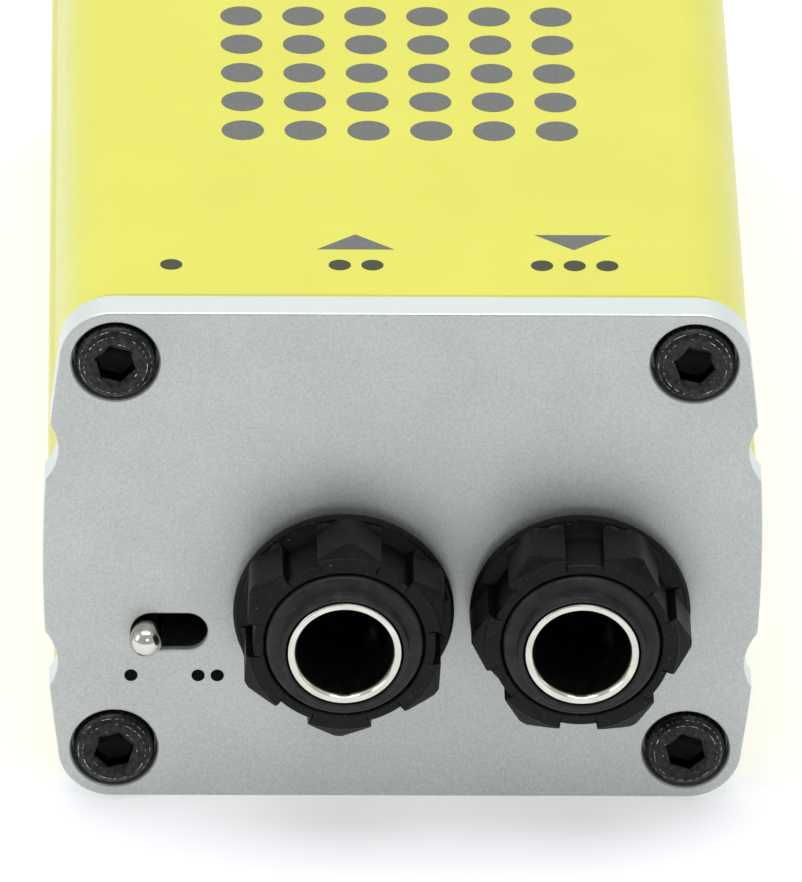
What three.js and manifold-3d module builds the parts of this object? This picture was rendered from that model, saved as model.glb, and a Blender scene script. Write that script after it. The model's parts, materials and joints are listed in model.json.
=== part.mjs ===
// A passive direct injection box: a grooved aluminium sleeve closed by two end plates. The front
// plate carries two jack sockets and a pad toggle, the rear plate an XLR plug and a ground lift
// toggle. Inside are a circuit board, an audio transformer and small parts.
// Millimetres. X is right and Y runs from the front plate to the rear one. Z is up from the base.

import * as THREE from 'three';
import { mergeVertices } from 'three/addons/utils/BufferGeometryUtils.js';
import Module from 'manifold-3d';

// The case: its outline, length and walls.
const WIDTH = 48.6;
const HEIGHT = 37.2;
const LENGTH = 100;
const PLATE = 2.6;
const CORNER_R = 3.7;
const CROWN = 1.05;
const GROOVE_HEIGHT = 7.95;
const GROOVE_HALF = 2.1;
const GROOVE_DEPTH = 0.7;
const SLEEVE_INSET = 0.3;
const WALL = 2;
const RIB = { reach: 1.6, bottom: 8.7, top: 9.9 };

// The M3 screws that hold the end plates.
const SCREW = { x: 19.43, z: 14.89, shank: 1.45, length: 11 };
const HEAD = { r: 2.72, high: 2.3, ease: 0.4, hex: 1.45, hexDeep: 1.3 };
const COUNTERBORE = { r: 2.95, deep: 1.9 };
const CLEARANCE_R = 1.75;
const PORT_R = 3;
const FRONT_STANDS = [0.5, 0.45, 0.55, 0.6];
const REAR_STANDS = [0.45, 0.5, 0.45, 0.5];

// The 6.35 mm jack sockets and their flanged nuts.
const JACKS = [{ name: 'input', x: -3.95, turn: 2.4 }, { name: 'tuner', x: 12.03, turn: 31 }];
const JACK_DROP = 3.64;
const BARREL = { r: 5.3, hole: 5.65, proud: 5.9, chamfer: 0.3 };
const BOSS = { r: 4.35, proud: 6.9 };
const FERRULE = { r: 3.82, bore: 3.27, length: 9.2, pocket: 4 };
const NUT = {
  across: 12.9, high: 5.6, bore: 5.62, cone: 0.55, eased: 0.1, notch: 2.6, collar: 6.15, foot: 6.7,
};
const FLANGE = { r: 7.475, rim: 7.2, back: 0.85, edge: 1.15, face: 1.35, thick: 1.65 };
const HOUSING = { half: 7.6, top: 21.3, deep: 22, wall: 1.2 };
// A contact strip runs forward along the housing's wall, leans in and bends out again at its touch.
const SPRING = { thick: 0.4, wide: 3, straight: 7, lean: 3, inX: 2.9, touchX: 4.2, pin: 1, pinAt: 0.2 };
const SPRING_REACH = { tip: -40.5, ring: -44 };

// The toggles: one behind each plate, both 15.7 mm left of the middle.
const TOGGLE = { x: -15.7, drop: 5.85, pivot: 9.6, mouth: 3.2, tilt: 8.5, half: 3.7, top: 17, deep: 8 };
// The lever's radii, and its lengths: from the pivot to the tip and to the tail, and of the dome.
const LEVER = { ball: 1.6, tail: 0.8, stem: 0.95, dome: 1.1, length: 12, back: 1.9, cap: 2, step: 0.4 };
const SLOT = { half: 2.6, r: 1.42 };
// Behind each slot the plate is milled out to a thin web, and the switch frame's nose fills the pocket.
const POCKET = { halfX: 3.9, halfZ: 2.5, web: 0.6 };
const NOSE = { halfX: 3.5, halfZ: 2.1, openX: 2.9, openZ: 1.5, sheet: 0.5 };

// The circuit board and what stands on it.
const BOARD = { bottom: 6.8, top: 8.4, half: 21.3, front: -45.5, notch: 25, rear: 44.5, leg: -8.6 };
const STAND = BOARD.top + 0.3;
const CORE = { x: 4, y: -6, half: 12, stack: 4.5, low: 9.2, high: 27.2, leg: 3.5, yoke: 3.5 };
const BOBBIN = { wall: 1.1, cheek: 0.8, halfX: 8.2, halfY: 9 };
const WINDING = { clear: 1.4, halfX: 8, halfY: 8.6 };
const STRAP = { sheet: 0.6, half: 3.5 };
const CAN = { x: -14.5, r: 3.15, high: 11, y: [1, 10] };
const FILM = { x0: -18.5, x1: -12.2, halfY: 2.3, high: 8, y: [-31, -23.5, -16] };
const RESISTOR = { r: 1.15, half: 3.1, wire: 0.3, span: 4.4, lift: 1.6, x: [-3.4, 9.8], y: [7.5, 11.5, 15.5] };

// The XLR plug on a D-shaped flange.
const XLR = { x: 3.2, w: 26, h: 31, corner: 3, flange: 2, r: 11, bore: 8.15, deep: 21, insert: 6 };
const PIN = { r: 1.2, circle: 3.8, tail: 2.4, proud: 0.4, taper: 0.8, point: 0.6 };
const XLR_SCREW = { x: 9.5, z: 12, head: 2.85, sink: 3.2, sunk: 0.12, cone: 0.5, length: 7 };
const XLR_NUT = { r: 3.17, high: 2.4 };
const WIRE = { r: 0.6, y: 22, rise: 2, bend: 2.5, bendY: 23.5, levelY: 26 };

const FRONT = -LENGTH / 2;
const REAR = LENGTH / 2;
const MIDDLE = HEIGHT / 2;
const CORNER_Z = MIDDLE - CORNER_R;
const INNER_X = WIDTH / 2 - SLEEVE_INSET - WALL;
const INNER_Z = MIDDLE - WALL;
const JACK_Z = MIDDLE - JACK_DROP;
const TOGGLE_Z = MIDDLE - TOGGLE.drop;
const GAP = 0.3;
const SEATED = 0.02;
const SOLDER = 0.05;
const PAST = 1;
const FINE = 32;
const COARSE = 16;
const LEVER_SIDES = 12;

const wasm = await Module();
wasm.setup();

const colours = {
  sleeve: [0xd9dc52, 0.35, 0.1],
  plate: [0xb9bfbf, 0.45, 0.9],
  blackSteel: [0x1b1b1c, 0.35, 0.8],
  blackPlastic: [0x202122, 0.45, 0],
  silver: [0xcfd0ca, 0.25, 1],
  steel: [0x9a9c9e, 0.4, 0.9],
  blackened: [0x141415, 0.5, 0.6],
  board: [0x1e5b34, 0.5, 0],
  copper: [0xa8632f, 0.5, 0.3],
  tape: [0xd8b84a, 0.5, 0],
  film: [0xa3281e, 0.5, 0],
  resistor: [0x6f9fbf, 0.5, 0],
  red: [0xb02018, 0.5, 0],
  white: [0xe4e4e0, 0.5, 0],
  black: [0x18181a, 0.5, 0],
};
const materials = {};
for (const [name, [color, roughness, metalness]] of Object.entries(colours)) {
  materials[name] = new THREE.MeshStandardMaterial({ color, roughness, metalness });
}

const box = new THREE.Group();

// Solids: a closed geometry becomes one that can be cut and joined.
function solid(geometry) {
  geometry.deleteAttribute('normal');
  geometry.deleteAttribute('uv');
  const merged = mergeVertices(geometry, 1e-4);
  const corners = merged.index.array;
  const kept = [];
  for (let i = 0; i < corners.length; i += 3) {
    const [a, b, c] = corners.slice(i, i + 3);
    if (a !== b && b !== c && a !== c) kept.push(a, b, c);
  }
  const vertProperties = new Float32Array(merged.attributes.position.array);
  const triVerts = new Uint32Array(kept);
  return new wasm.Manifold(new wasm.Mesh({ numProp: 3, vertProperties, triVerts }));
}

function add(name, body, material, parent = box) {
  const cut = body.getMesh();
  const geometry = new THREE.BufferGeometry();
  geometry.setAttribute('position', new THREE.BufferAttribute(cut.vertProperties, 3));
  geometry.setIndex(new THREE.BufferAttribute(cut.triVerts, 1));
  geometry.computeVertexNormals();
  const mesh = new THREE.Mesh(geometry, materials[material]);
  mesh.name = name;
  parent.add(mesh);
  return mesh;
}

// A block between two corners.
function block(x0, x1, y0, y1, z0, z1) {
  const geometry = new THREE.BoxGeometry(x1 - x0, y1 - y0, z1 - z0);
  return solid(geometry.translate((x0 + x1) / 2, (y0 + y1) / 2, (z0 + z1) / 2));
}

// A round bar along Y, centred on x and z.
function bar(x, z, r, y0, y1, sides = COARSE) {
  const geometry = new THREE.CylinderGeometry(r, r, y1 - y0, sides);
  return solid(geometry.translate(x, (y0 + y1) / 2, z));
}

// A round post standing along Z.
function post(x, y, r, z0, z1, sides = COARSE) {
  const geometry = new THREE.CylinderGeometry(r, r, z1 - z0, sides).rotateX(Math.PI / 2);
  return solid(geometry.translate(x, y, (z0 + z1) / 2));
}

// A turned solid about a Y axis through x and z. The profile's points are radius and Y.
function turned(profile, x, z, sides = FINE) {
  const points = profile.map(([r, y]) => new THREE.Vector2(r, y));
  return solid(new THREE.LatheGeometry(points, sides).translate(x, 0, z));
}

// A shape drawn in X and Z, extruded from y0 to y1.
function slab(shape, y0, y1, curveSegments = 6) {
  const options = { depth: y1 - y0, bevelEnabled: false, curveSegments };
  return solid(new THREE.ExtrudeGeometry(shape, options).rotateX(Math.PI / 2).translate(0, y1, 0));
}

function roundedRectangle(halfX, halfZ, r, x = 0, z = 0) {
  const shape = new THREE.Shape();
  const [cx, cz] = [halfX - r, halfZ - r];
  shape.absarc(x + cx, z + cz, r, 0, Math.PI / 2);
  shape.absarc(x - cx, z + cz, r, Math.PI / 2, Math.PI);
  shape.absarc(x - cx, z - cz, r, Math.PI, 1.5 * Math.PI);
  shape.absarc(x + cx, z - cz, r, 1.5 * Math.PI, 2 * Math.PI);
  return shape;
}

// The case outline: slightly crowned sides with two shallow grooves each, and round corners.
function sideX(z) {
  const across = (Math.abs(z) - GROOVE_HEIGHT) / GROOVE_HALF;
  const groove = Math.abs(across) < 1 ? GROOVE_DEPTH * (1 - across ** 2) : 0;
  return WIDTH / 2 - CROWN * (z / CORNER_Z) ** 2 - groove;
}

function sideHeights() {
  const grooveSteps = 6;
  const upper = [GROOVE_HEIGHT / 3];
  for (let k = 0; k <= grooveSteps; k += 1) {
    upper.push(GROOVE_HEIGHT + GROOVE_HALF * (2 * k / grooveSteps - 1));
  }
  const lower = upper.map((z) => -z).reverse();
  return [...lower, 0, ...upper];
}

function outline(inset) {
  const heights = sideHeights();
  const cornerX = sideX(CORNER_Z) - inset - CORNER_R;
  const shape = new THREE.Shape();
  shape.moveTo(sideX(heights[0]) - inset, MIDDLE + heights[0]);
  for (const z of heights) shape.lineTo(sideX(z) - inset, MIDDLE + z);
  shape.absarc(cornerX, MIDDLE + CORNER_Z, CORNER_R, 0, Math.PI / 2);
  shape.absarc(-cornerX, MIDDLE + CORNER_Z, CORNER_R, Math.PI / 2, Math.PI);
  for (const z of heights.reverse()) shape.lineTo(inset - sideX(z), MIDDLE + z);
  shape.absarc(-cornerX, MIDDLE - CORNER_Z, CORNER_R, Math.PI, 1.5 * Math.PI);
  shape.absarc(cornerX, MIDDLE - CORNER_Z, CORNER_R, 1.5 * Math.PI, 2 * Math.PI);
  return shape;
}

// The four screw centres: top left, top right, bottom left, bottom right.
const corners = [];
for (const up of [1, -1]) {
  for (const side of [-1, 1]) corners.push([side * SCREW.x, MIDDLE + up * SCREW.z]);
}

// The sleeve: an extrusion with a screw port in each corner and a rib over each board edge.
function sleeve() {
  const [y0, y1] = [FRONT + PLATE, REAR - PLATE];
  const hollow = roundedRectangle(INNER_X, INNER_Z, WALL, 0, MIDDLE);
  let body = slab(outline(SLEEVE_INSET), y0, y1).subtract(slab(hollow, y0 - PAST, y1 + PAST));
  for (const [x, z] of corners) body = body.add(bar(x, z, PORT_R, y0, y1));
  for (const side of [-1, 1]) {
    const [near, far] = [side * (INNER_X - RIB.reach), side * (INNER_X + WALL / 2)];
    body = body.add(block(Math.min(near, far), Math.max(near, far), y0, y1, RIB.bottom, RIB.top));
  }
  for (const [x, z] of corners) {
    body = body.subtract(bar(x, z, CLEARANCE_R, y0 - PAST, y1 + PAST));
  }
  return body;
}
add('case_sleeve', sleeve(), 'sleeve');

// A block around a toggle's axis, between two distances from the middle of the box.
function alongFacing(facing, { halfX, halfZ }, near, far) {
  const ends = [facing * near, facing * far].sort((a, b) => a - b);
  return block(TOGGLE.x - halfX, TOGGLE.x + halfX, ...ends, TOGGLE_Z - halfZ, TOGGLE_Z + halfZ);
}

// An end plate with counterbored corners and the toggle's slot. Facing is -1 at the front.
function endPlate(facing) {
  const outer = facing * REAR;
  const inner = outer - facing * PLATE;
  const [y0, y1] = [Math.min(outer, inner), Math.max(outer, inner)];
  const floor = outer - facing * COUNTERBORE.deep;
  const mouth = outer + facing * PAST;
  let body = slab(outline(0), y0, y1);
  for (const [x, z] of corners) {
    body = body.subtract(bar(x, z, CLEARANCE_R, y0 - PAST, y1 + PAST));
    body = body.subtract(bar(x, z, COUNTERBORE.r, Math.min(floor, mouth), Math.max(floor, mouth)));
  }
  const slot = roundedRectangle(SLOT.half, SLOT.r, SLOT.r, TOGGLE.x, TOGGLE_Z);
  const pocket = alongFacing(facing, POCKET, REAR - POCKET.web, REAR - PLATE - PAST);
  return body.subtract(slab(slot, y0 - PAST, y1 + PAST)).subtract(pocket);
}

let frontPlate = endPlate(-1);
for (const jack of JACKS) {
  const hole = bar(jack.x, JACK_Z, BARREL.hole, FRONT - PAST, FRONT + PLATE + PAST, FINE);
  frontPlate = frontPlate.subtract(hole);
}
add('front_plate', frontPlate, 'plate');

const xlrScrews = [[XLR.x + XLR_SCREW.x, MIDDLE + XLR_SCREW.z], [XLR.x - XLR_SCREW.x, MIDDLE - XLR_SCREW.z]];
let rearPlate = endPlate(1);
rearPlate = rearPlate.subtract(bar(XLR.x, MIDDLE, XLR.r + GAP, REAR - PLATE - PAST, REAR + PAST, FINE));
for (const [x, z] of xlrScrews) {
  rearPlate = rearPlate.subtract(bar(x, z, CLEARANCE_R, REAR - PLATE - PAST, REAR + PAST));
}
add('rear_plate', rearPlate, 'plate');

// A socket head cap screw along Y: the head's rim is eased and its socket is a blind hexagon.
function capScrew(x, z, facing, stand) {
  const profile = [
    [0, -SCREW.length],
    [SCREW.shank, -SCREW.length],
    [SCREW.shank, 0],
    [HEAD.r, 0],
    [HEAD.r, HEAD.high - HEAD.ease],
    [HEAD.r - HEAD.ease, HEAD.high],
    [0, HEAD.high],
  ];
  const points = profile.map(([r, y]) => new THREE.Vector2(r, y));
  const turn = facing < 0 ? Math.PI : 0;
  const seat = facing * (REAR + stand - HEAD.high);
  const blank = new THREE.LatheGeometry(points, COARSE).rotateX(turn).translate(x, seat, z);
  const reach = facing * (REAR + stand);
  const hexagon = new THREE.CylinderGeometry(HEAD.hex, HEAD.hex, 2 * HEAD.hexDeep, 6).translate(x, reach, z);
  return solid(blank).subtract(solid(hexagon));
}
corners.forEach(([x, z], i) => {
  add(`front_screw_${i + 1}`, capScrew(x, z, -1, FRONT_STANDS[i]), 'blackSteel');
  add(`rear_screw_${i + 1}`, capScrew(x, z, 1, REAR_STANDS[i]), 'blackSteel');
});

// A jack's housing and threaded barrel in one moulding, hollow and open towards the board. The
// barrel's front steps down to a boss around the bore.
function jackHousing(x) {
  const back = FRONT + PLATE + GAP;
  const nose = FRONT - BOSS.proud;
  const step = FRONT - BARREL.proud;
  const end = back + HOUSING.deep;
  const root = back + HOUSING.wall / 2;
  const barrel = turned([
    [0, nose],
    [BOSS.r, nose],
    [BOSS.r, step],
    [BARREL.r - BARREL.chamfer, step],
    [BARREL.r, step + BARREL.chamfer],
    [BARREL.r, root],
    [0, root],
  ], x, JACK_Z);
  const shell = block(x - HOUSING.half, x + HOUSING.half, back, end, STAND, HOUSING.top);
  const room = HOUSING.half - HOUSING.wall;
  const hollow = block(x - room, x + room, back + HOUSING.wall, end - HOUSING.wall,
    STAND - PAST, HOUSING.top - HOUSING.wall);
  const pocket = bar(x, JACK_Z, FERRULE.pocket, nose - PAST, back + HOUSING.wall + PAST, FINE);
  return barrel.add(shell).subtract(hollow).subtract(pocket);
}

// The bright tube that lines a jack's mouth.
function ferrule(x) {
  const nose = FRONT - BOSS.proud;
  const end = nose + FERRULE.length;
  const profile = [[FERRULE.bore, nose], [FERRULE.r, nose], [FERRULE.r, end], [FERRULE.bore, end],
    [FERRULE.bore, nose]];
  return turned(profile, x, JACK_Z);
}

// A hexagon nut with a coned front, a spanner notch in each flat and a round flange that tapers
// back to a narrower foot.
function jackNut(x, degrees) {
  const turn = THREE.MathUtils.degToRad(degrees);
  const face = FRONT - NUT.high;
  const cornerR = NUT.across / Math.sqrt(3);
  const cone = turned([
    [0, face],
    [NUT.across / 2, face],
    [cornerR - NUT.eased, face + NUT.cone],
    [cornerR - NUT.eased, FRONT - FLANGE.back],
    [0, FRONT - FLANGE.back],
  ], x, JACK_Z);
  const hexagon = new THREE.CylinderGeometry(cornerR, cornerR, NUT.high, 6).rotateY(turn);
  let body = solid(hexagon.translate(x, (face + FRONT) / 2, JACK_Z)).intersect(cone);
  for (let k = 0; k < 6; k += 1) {
    const reach = cornerR - NUT.collar;
    const notch = new THREE.BoxGeometry(NUT.notch, NUT.high, reach);
    notch.translate(0, FRONT - FLANGE.thick - NUT.high / 2, NUT.collar + reach / 2);
    notch.rotateY(turn + Math.PI / 6 + k * Math.PI / 3).translate(x, 0, JACK_Z);
    body = body.subtract(solid(notch));
  }
  const flange = turned([
    [0, FRONT - FLANGE.thick],
    [NUT.collar, FRONT - FLANGE.thick],
    [FLANGE.rim, FRONT - FLANGE.face],
    [FLANGE.r, FRONT - FLANGE.edge],
    [FLANGE.r, FRONT - FLANGE.back],
    [NUT.foot, FRONT - SEATED],
    [0, FRONT - SEATED],
  ], x, JACK_Z);
  return body.add(flange).subtract(bar(x, JACK_Z, NUT.bore, face - PAST, FRONT + PAST, FINE));
}

// A bent contact strip, drawn from above and standing on a pin that reaches the board.
function contactSpring(x, side, reach) {
  const wall = HOUSING.half - HOUSING.wall - GAP;
  const back = FRONT + PLATE + HOUSING.deep - HOUSING.wall - GAP;
  const route = [[wall, back], [wall, reach + SPRING.straight], [SPRING.inX, reach + SPRING.lean],
    [SPRING.touchX, reach]];
  const outer = route.map(([dx, y]) => new THREE.Vector2(x + side * dx, y));
  const inner = outer.map((p) => new THREE.Vector2(p.x - side * SPRING.thick, p.y)).reverse();
  const shape = new THREE.Shape([...outer, ...inner]);
  const strip = new THREE.ExtrudeGeometry(shape, { depth: SPRING.wide, bevelEnabled: false });
  strip.translate(0, 0, JACK_Z - SPRING.wide / 2);
  const edges = [x + side * wall, x + side * (wall - SPRING.thick)].sort((a, b) => a - b);
  const pinBack = back - SPRING.pinAt;
  const pin = block(edges[0], edges[1], pinBack - SPRING.pin, pinBack, BOARD.top + SOLDER, JACK_Z);
  return solid(strip).add(pin);
}

for (const jack of JACKS) {
  add(`${jack.name}_jack_housing`, jackHousing(jack.x), 'blackPlastic');
  add(`${jack.name}_jack_ferrule`, ferrule(jack.x), 'silver');
  add(`${jack.name}_jack_nut`, jackNut(jack.x, jack.turn), 'blackPlastic');
  add(`${jack.name}_tip_spring`, contactSpring(jack.x, 1, SPRING_REACH.tip), 'silver');
  add(`${jack.name}_ring_spring`, contactSpring(jack.x, -1, SPRING_REACH.ring), 'silver');
}

// A toggle switch: its body, the bent steel frame in front of it, and the domed lever.
function standingBlock(facing, near, far, z0, z1) {
  const ends = [facing * near, facing * far].sort((a, b) => a - b);
  return block(TOGGLE.x - TOGGLE.half, TOGGLE.x + TOGGLE.half, ...ends, z0, z1);
}

function toggleBody(facing) {
  const mouth = REAR - TOGGLE.pivot + TOGGLE.mouth - NOSE.sheet;
  const well = { halfX: NOSE.openX, halfZ: NOSE.halfZ };
  const shell = standingBlock(facing, mouth, mouth - TOGGLE.deep, STAND, TOGGLE.top);
  return shell.subtract(alongFacing(facing, well, mouth + PAST, mouth - TOGGLE.mouth - LEVER.ball - PAST));
}

function toggleFrame(facing) {
  const near = REAR - TOGGLE.pivot + TOGGLE.mouth + NOSE.sheet;
  const roof = TOGGLE.top + GAP;
  const noseEnd = REAR - POCKET.web - GAP;
  const front = standingBlock(facing, near, near - NOSE.sheet, STAND, roof + NOSE.sheet);
  const leg = standingBlock(facing, near, near - TOGGLE.deep, roof, roof + NOSE.sheet);
  const nose = alongFacing(facing, NOSE, noseEnd, near - NOSE.sheet / 2);
  const window = { halfX: NOSE.openX, halfZ: NOSE.openZ };
  return front.add(leg).add(nose).subtract(alongFacing(facing, window, noseEnd + PAST, near - PAST));
}

function toggleLever() {
  const { ball, tail, stem, dome, length, back, cap, step } = LEVER;
  const profile = [new THREE.Vector2(0, -back), new THREE.Vector2(tail, -back)];
  const from = Math.asin(tail / ball);
  const to = Math.PI - Math.asin(stem / ball);
  const steps = 6;
  for (let k = 0; k <= steps; k += 1) {
    const a = from + (to - from) * k / steps;
    profile.push(new THREE.Vector2(ball * Math.sin(a), -ball * Math.cos(a)));
  }
  profile.push(new THREE.Vector2(stem, length - cap - step), new THREE.Vector2(dome, length - cap));
  for (let k = 0; k < steps; k += 1) {
    const a = k / steps * Math.PI / 2;
    profile.push(new THREE.Vector2(dome * Math.cos(a), length - dome + dome * Math.sin(a)));
  }
  profile.push(new THREE.Vector2(0, length));
  return solid(new THREE.LatheGeometry(profile, LEVER_SIDES));
}

for (const [name, facing, turn] of [['pad', -1, 180 - TOGGLE.tilt], ['ground', 1, -TOGGLE.tilt]]) {
  add(`${name}_switch_body`, toggleBody(facing), 'blackPlastic');
  add(`${name}_switch_frame`, toggleFrame(facing), 'blackened');
  const pivot = new THREE.Group();
  pivot.position.set(TOGGLE.x, facing * (REAR - TOGGLE.pivot), TOGGLE_Z);
  pivot.rotation.z = THREE.MathUtils.degToRad(turn);
  add(`${name}_lever`, toggleLever(), 'silver', pivot);
  box.add(pivot);
}

// The circuit board, cut away for the XLR plug.
function circuitBoard() {
  const corner = [[-BOARD.half, BOARD.front], [BOARD.half, BOARD.front], [BOARD.half, BOARD.notch],
    [BOARD.leg, BOARD.notch], [BOARD.leg, BOARD.rear], [-BOARD.half, BOARD.rear]];
  const shape = new THREE.Shape(corner.map(([x, y]) => new THREE.Vector2(x, y)));
  const options = { depth: BOARD.top - BOARD.bottom, bevelEnabled: false };
  return solid(new THREE.ExtrudeGeometry(shape, options).translate(0, 0, BOARD.bottom));
}
add('circuit_board', circuitBoard(), 'board');

// The transformer: a laminated core through a wound bobbin, held down by a strap.
function centred(halfX, halfY, z0, z1) {
  return block(CORE.x - halfX, CORE.x + halfX, CORE.y - halfY, CORE.y + halfY, z0, z1);
}

function transformerCore() {
  const windowHalf = (CORE.half - CORE.leg - CORE.yoke) / 2;
  const windowX = CORE.leg + windowHalf;
  let body = centred(CORE.half, CORE.stack, CORE.low, CORE.high);
  for (const side of [-1, 1]) {
    const x = CORE.x + side * windowX;
    const [z0, z1] = [CORE.low + CORE.yoke, CORE.high - CORE.yoke];
    const [y0, y1] = [CORE.y - CORE.stack - PAST, CORE.y + CORE.stack + PAST];
    body = body.subtract(block(x - windowHalf, x + windowHalf, y0, y1, z0, z1));
  }
  return body;
}

function bobbin() {
  const [z0, z1] = [CORE.low + CORE.yoke + GAP, CORE.high - CORE.yoke - GAP];
  const tube = centred(CORE.leg + BOBBIN.wall, CORE.stack + BOBBIN.wall, z0, z1);
  const lower = centred(BOBBIN.halfX, BOBBIN.halfY, z0, z0 + BOBBIN.cheek);
  const upper = centred(BOBBIN.halfX, BOBBIN.halfY, z1 - BOBBIN.cheek, z1);
  const bore = centred(CORE.leg + GAP, CORE.stack + GAP, z0 - PAST, z1 + PAST);
  return tube.add(lower).add(upper).subtract(bore);
}

function winding() {
  const { clear, halfX, halfY } = WINDING;
  const [z0, z1] = [CORE.low + CORE.yoke + clear, CORE.high - CORE.yoke - clear];
  const bore = centred(CORE.leg + clear, CORE.stack + clear, z0 - PAST, z1 + PAST);
  return centred(halfX, halfY, z0, z1).subtract(bore);
}

function strap() {
  const { sheet, half } = STRAP;
  const outer = centred(CORE.half + GAP + sheet, half, STAND, CORE.high + GAP + sheet);
  return outer.subtract(centred(CORE.half + GAP, half + PAST, STAND - PAST, CORE.high + GAP));
}
add('transformer_core', transformerCore(), 'steel');
add('transformer_bobbin', bobbin(), 'blackPlastic');
add('transformer_winding', winding(), 'tape');
add('transformer_strap', strap(), 'steel');

// Capacitors: two round cans and three film blocks along the board's left side.
for (const [i, y] of CAN.y.entries()) {
  add(`can_capacitor_${i + 1}`, post(CAN.x, y, CAN.r, STAND, STAND + CAN.high), 'black');
}
for (const [i, y] of FILM.y.entries()) {
  const [y0, y1] = [y - FILM.halfY, y + FILM.halfY];
  add(`film_capacitor_${i + 1}`, block(FILM.x0, FILM.x1, y0, y1, STAND, STAND + FILM.high), 'film');
}

// Axial resistors: a body along X with two wires that bend down to the board.
function resistor(x, y) {
  const { r, half, wire, span, lift } = RESISTOR;
  const z = STAND + lift;
  const lay = (radius, reach) => solid(new THREE.CylinderGeometry(radius, radius, 2 * reach, 12)
    .rotateZ(Math.PI / 2).translate(x, y, z));
  let body = lay(r, half).add(lay(wire, span));
  for (const side of [-1, 1]) {
    body = body.add(post(x + side * span, y, wire, BOARD.top + SOLDER, z + wire / 2, 8));
  }
  return body;
}
let count = 0;
for (const x of RESISTOR.x) {
  for (const y of RESISTOR.y) {
    count += 1;
    add(`resistor_${count}`, resistor(x, y), 'resistor');
  }
}

// The XLR plug: flanged shell, insert, three pins, and the screws and nuts that hold it.
function xlrShell() {
  const face = REAR + XLR.flange;
  let body = slab(roundedRectangle(XLR.w / 2, XLR.h / 2, XLR.corner, XLR.x, MIDDLE), REAR, face);
  body = body.add(bar(XLR.x, MIDDLE, XLR.r, face - XLR.deep, REAR + PAST, FINE));
  body = body.subtract(bar(XLR.x, MIDDLE, XLR.bore, face - XLR.deep - PAST, face + PAST, FINE));
  for (const [x, z] of xlrScrews) {
    const { sink, sunk, cone } = XLR_SCREW;
    const recess = [[0, REAR - PAST], [CLEARANCE_R, REAR - PAST], [CLEARANCE_R, REAR + cone - GAP],
      [sink, face - sunk], [sink, face + PAST], [0, face + PAST]];
    body = body.subtract(turned(recess, x, z, COARSE));
  }
  return body;
}

const pinPlaces = [[-1, 0], [1, 0], [0, -1]].map(([a, b]) => [
  XLR.x + a * PIN.circle, MIDDLE + b * PIN.circle]);
const insertRear = REAR + XLR.flange - XLR.deep + GAP;
const insertFront = insertRear + XLR.insert;
const pinRear = insertRear - PIN.tail;
let insert = bar(XLR.x, MIDDLE, XLR.bore - GAP, insertRear, insertFront, FINE);
for (const [x, z] of pinPlaces) {
  insert = insert.subtract(bar(x, z, PIN.r + GAP, insertRear - PAST, insertFront + PAST));
}
add('xlr_shell', xlrShell(), 'steel');
add('xlr_insert', insert, 'blackPlastic');
pinPlaces.forEach(([x, z], i) => {
  const tip = REAR + PIN.proud;
  const profile = [[0, pinRear], [PIN.r, pinRear], [PIN.r, tip - PIN.taper], [PIN.point, tip], [0, tip]];
  add(`xlr_pin_${i + 1}`, turned(profile, x, z, COARSE), 'silver');
});
xlrScrews.forEach(([x, z], i) => {
  const end = REAR - XLR_SCREW.length;
  const face = REAR + XLR.flange - XLR_SCREW.sunk;
  const profile = [[0, end], [SCREW.shank, end], [SCREW.shank, REAR + XLR_SCREW.cone],
    [XLR_SCREW.head, face], [0, face]];
  add(`xlr_screw_${i + 1}`, turned(profile, x, z, COARSE), 'blackSteel');
  const { r, high } = XLR_NUT;
  const nut = new THREE.CylinderGeometry(r, r, high, 6).translate(x, REAR - PLATE - high / 2, z);
  add(`xlr_nut_${i + 1}`, solid(nut).subtract(bar(x, z, CLEARANCE_R, end, REAR)), 'steel');
});

// Three wires from the board to the XLR plug's pins.
['black', 'red', 'white'].forEach((colour, i) => {
  const [x, z] = pinPlaces[i];
  const route = [[x, WIRE.y, STAND], [x, WIRE.y, STAND + WIRE.rise], [x, WIRE.bendY, z - WIRE.bend],
    [x, WIRE.levelY, z], [x, pinRear - GAP, z]];
  const section = new THREE.Shape().absarc(0, 0, WIRE.r, 0, 2 * Math.PI);
  const extrudePath = new THREE.CatmullRomCurve3(route.map((p) => new THREE.Vector3(...p)));
  const tube = new THREE.ExtrudeGeometry(section, { steps: 16, curveSegments: 4, extrudePath });
  add(`xlr_wire_${i + 1}`, solid(tube), colour);
});

export default box;
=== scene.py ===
# A passive direct injection box: a painted sleeve between two blasted end plates, with jack
# sockets and a pad toggle in front, and an XLR plug and a ground lift toggle behind.
import json
import math

import bmesh
import bpy
from mathutils import Matrix, Vector, geometry


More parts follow.
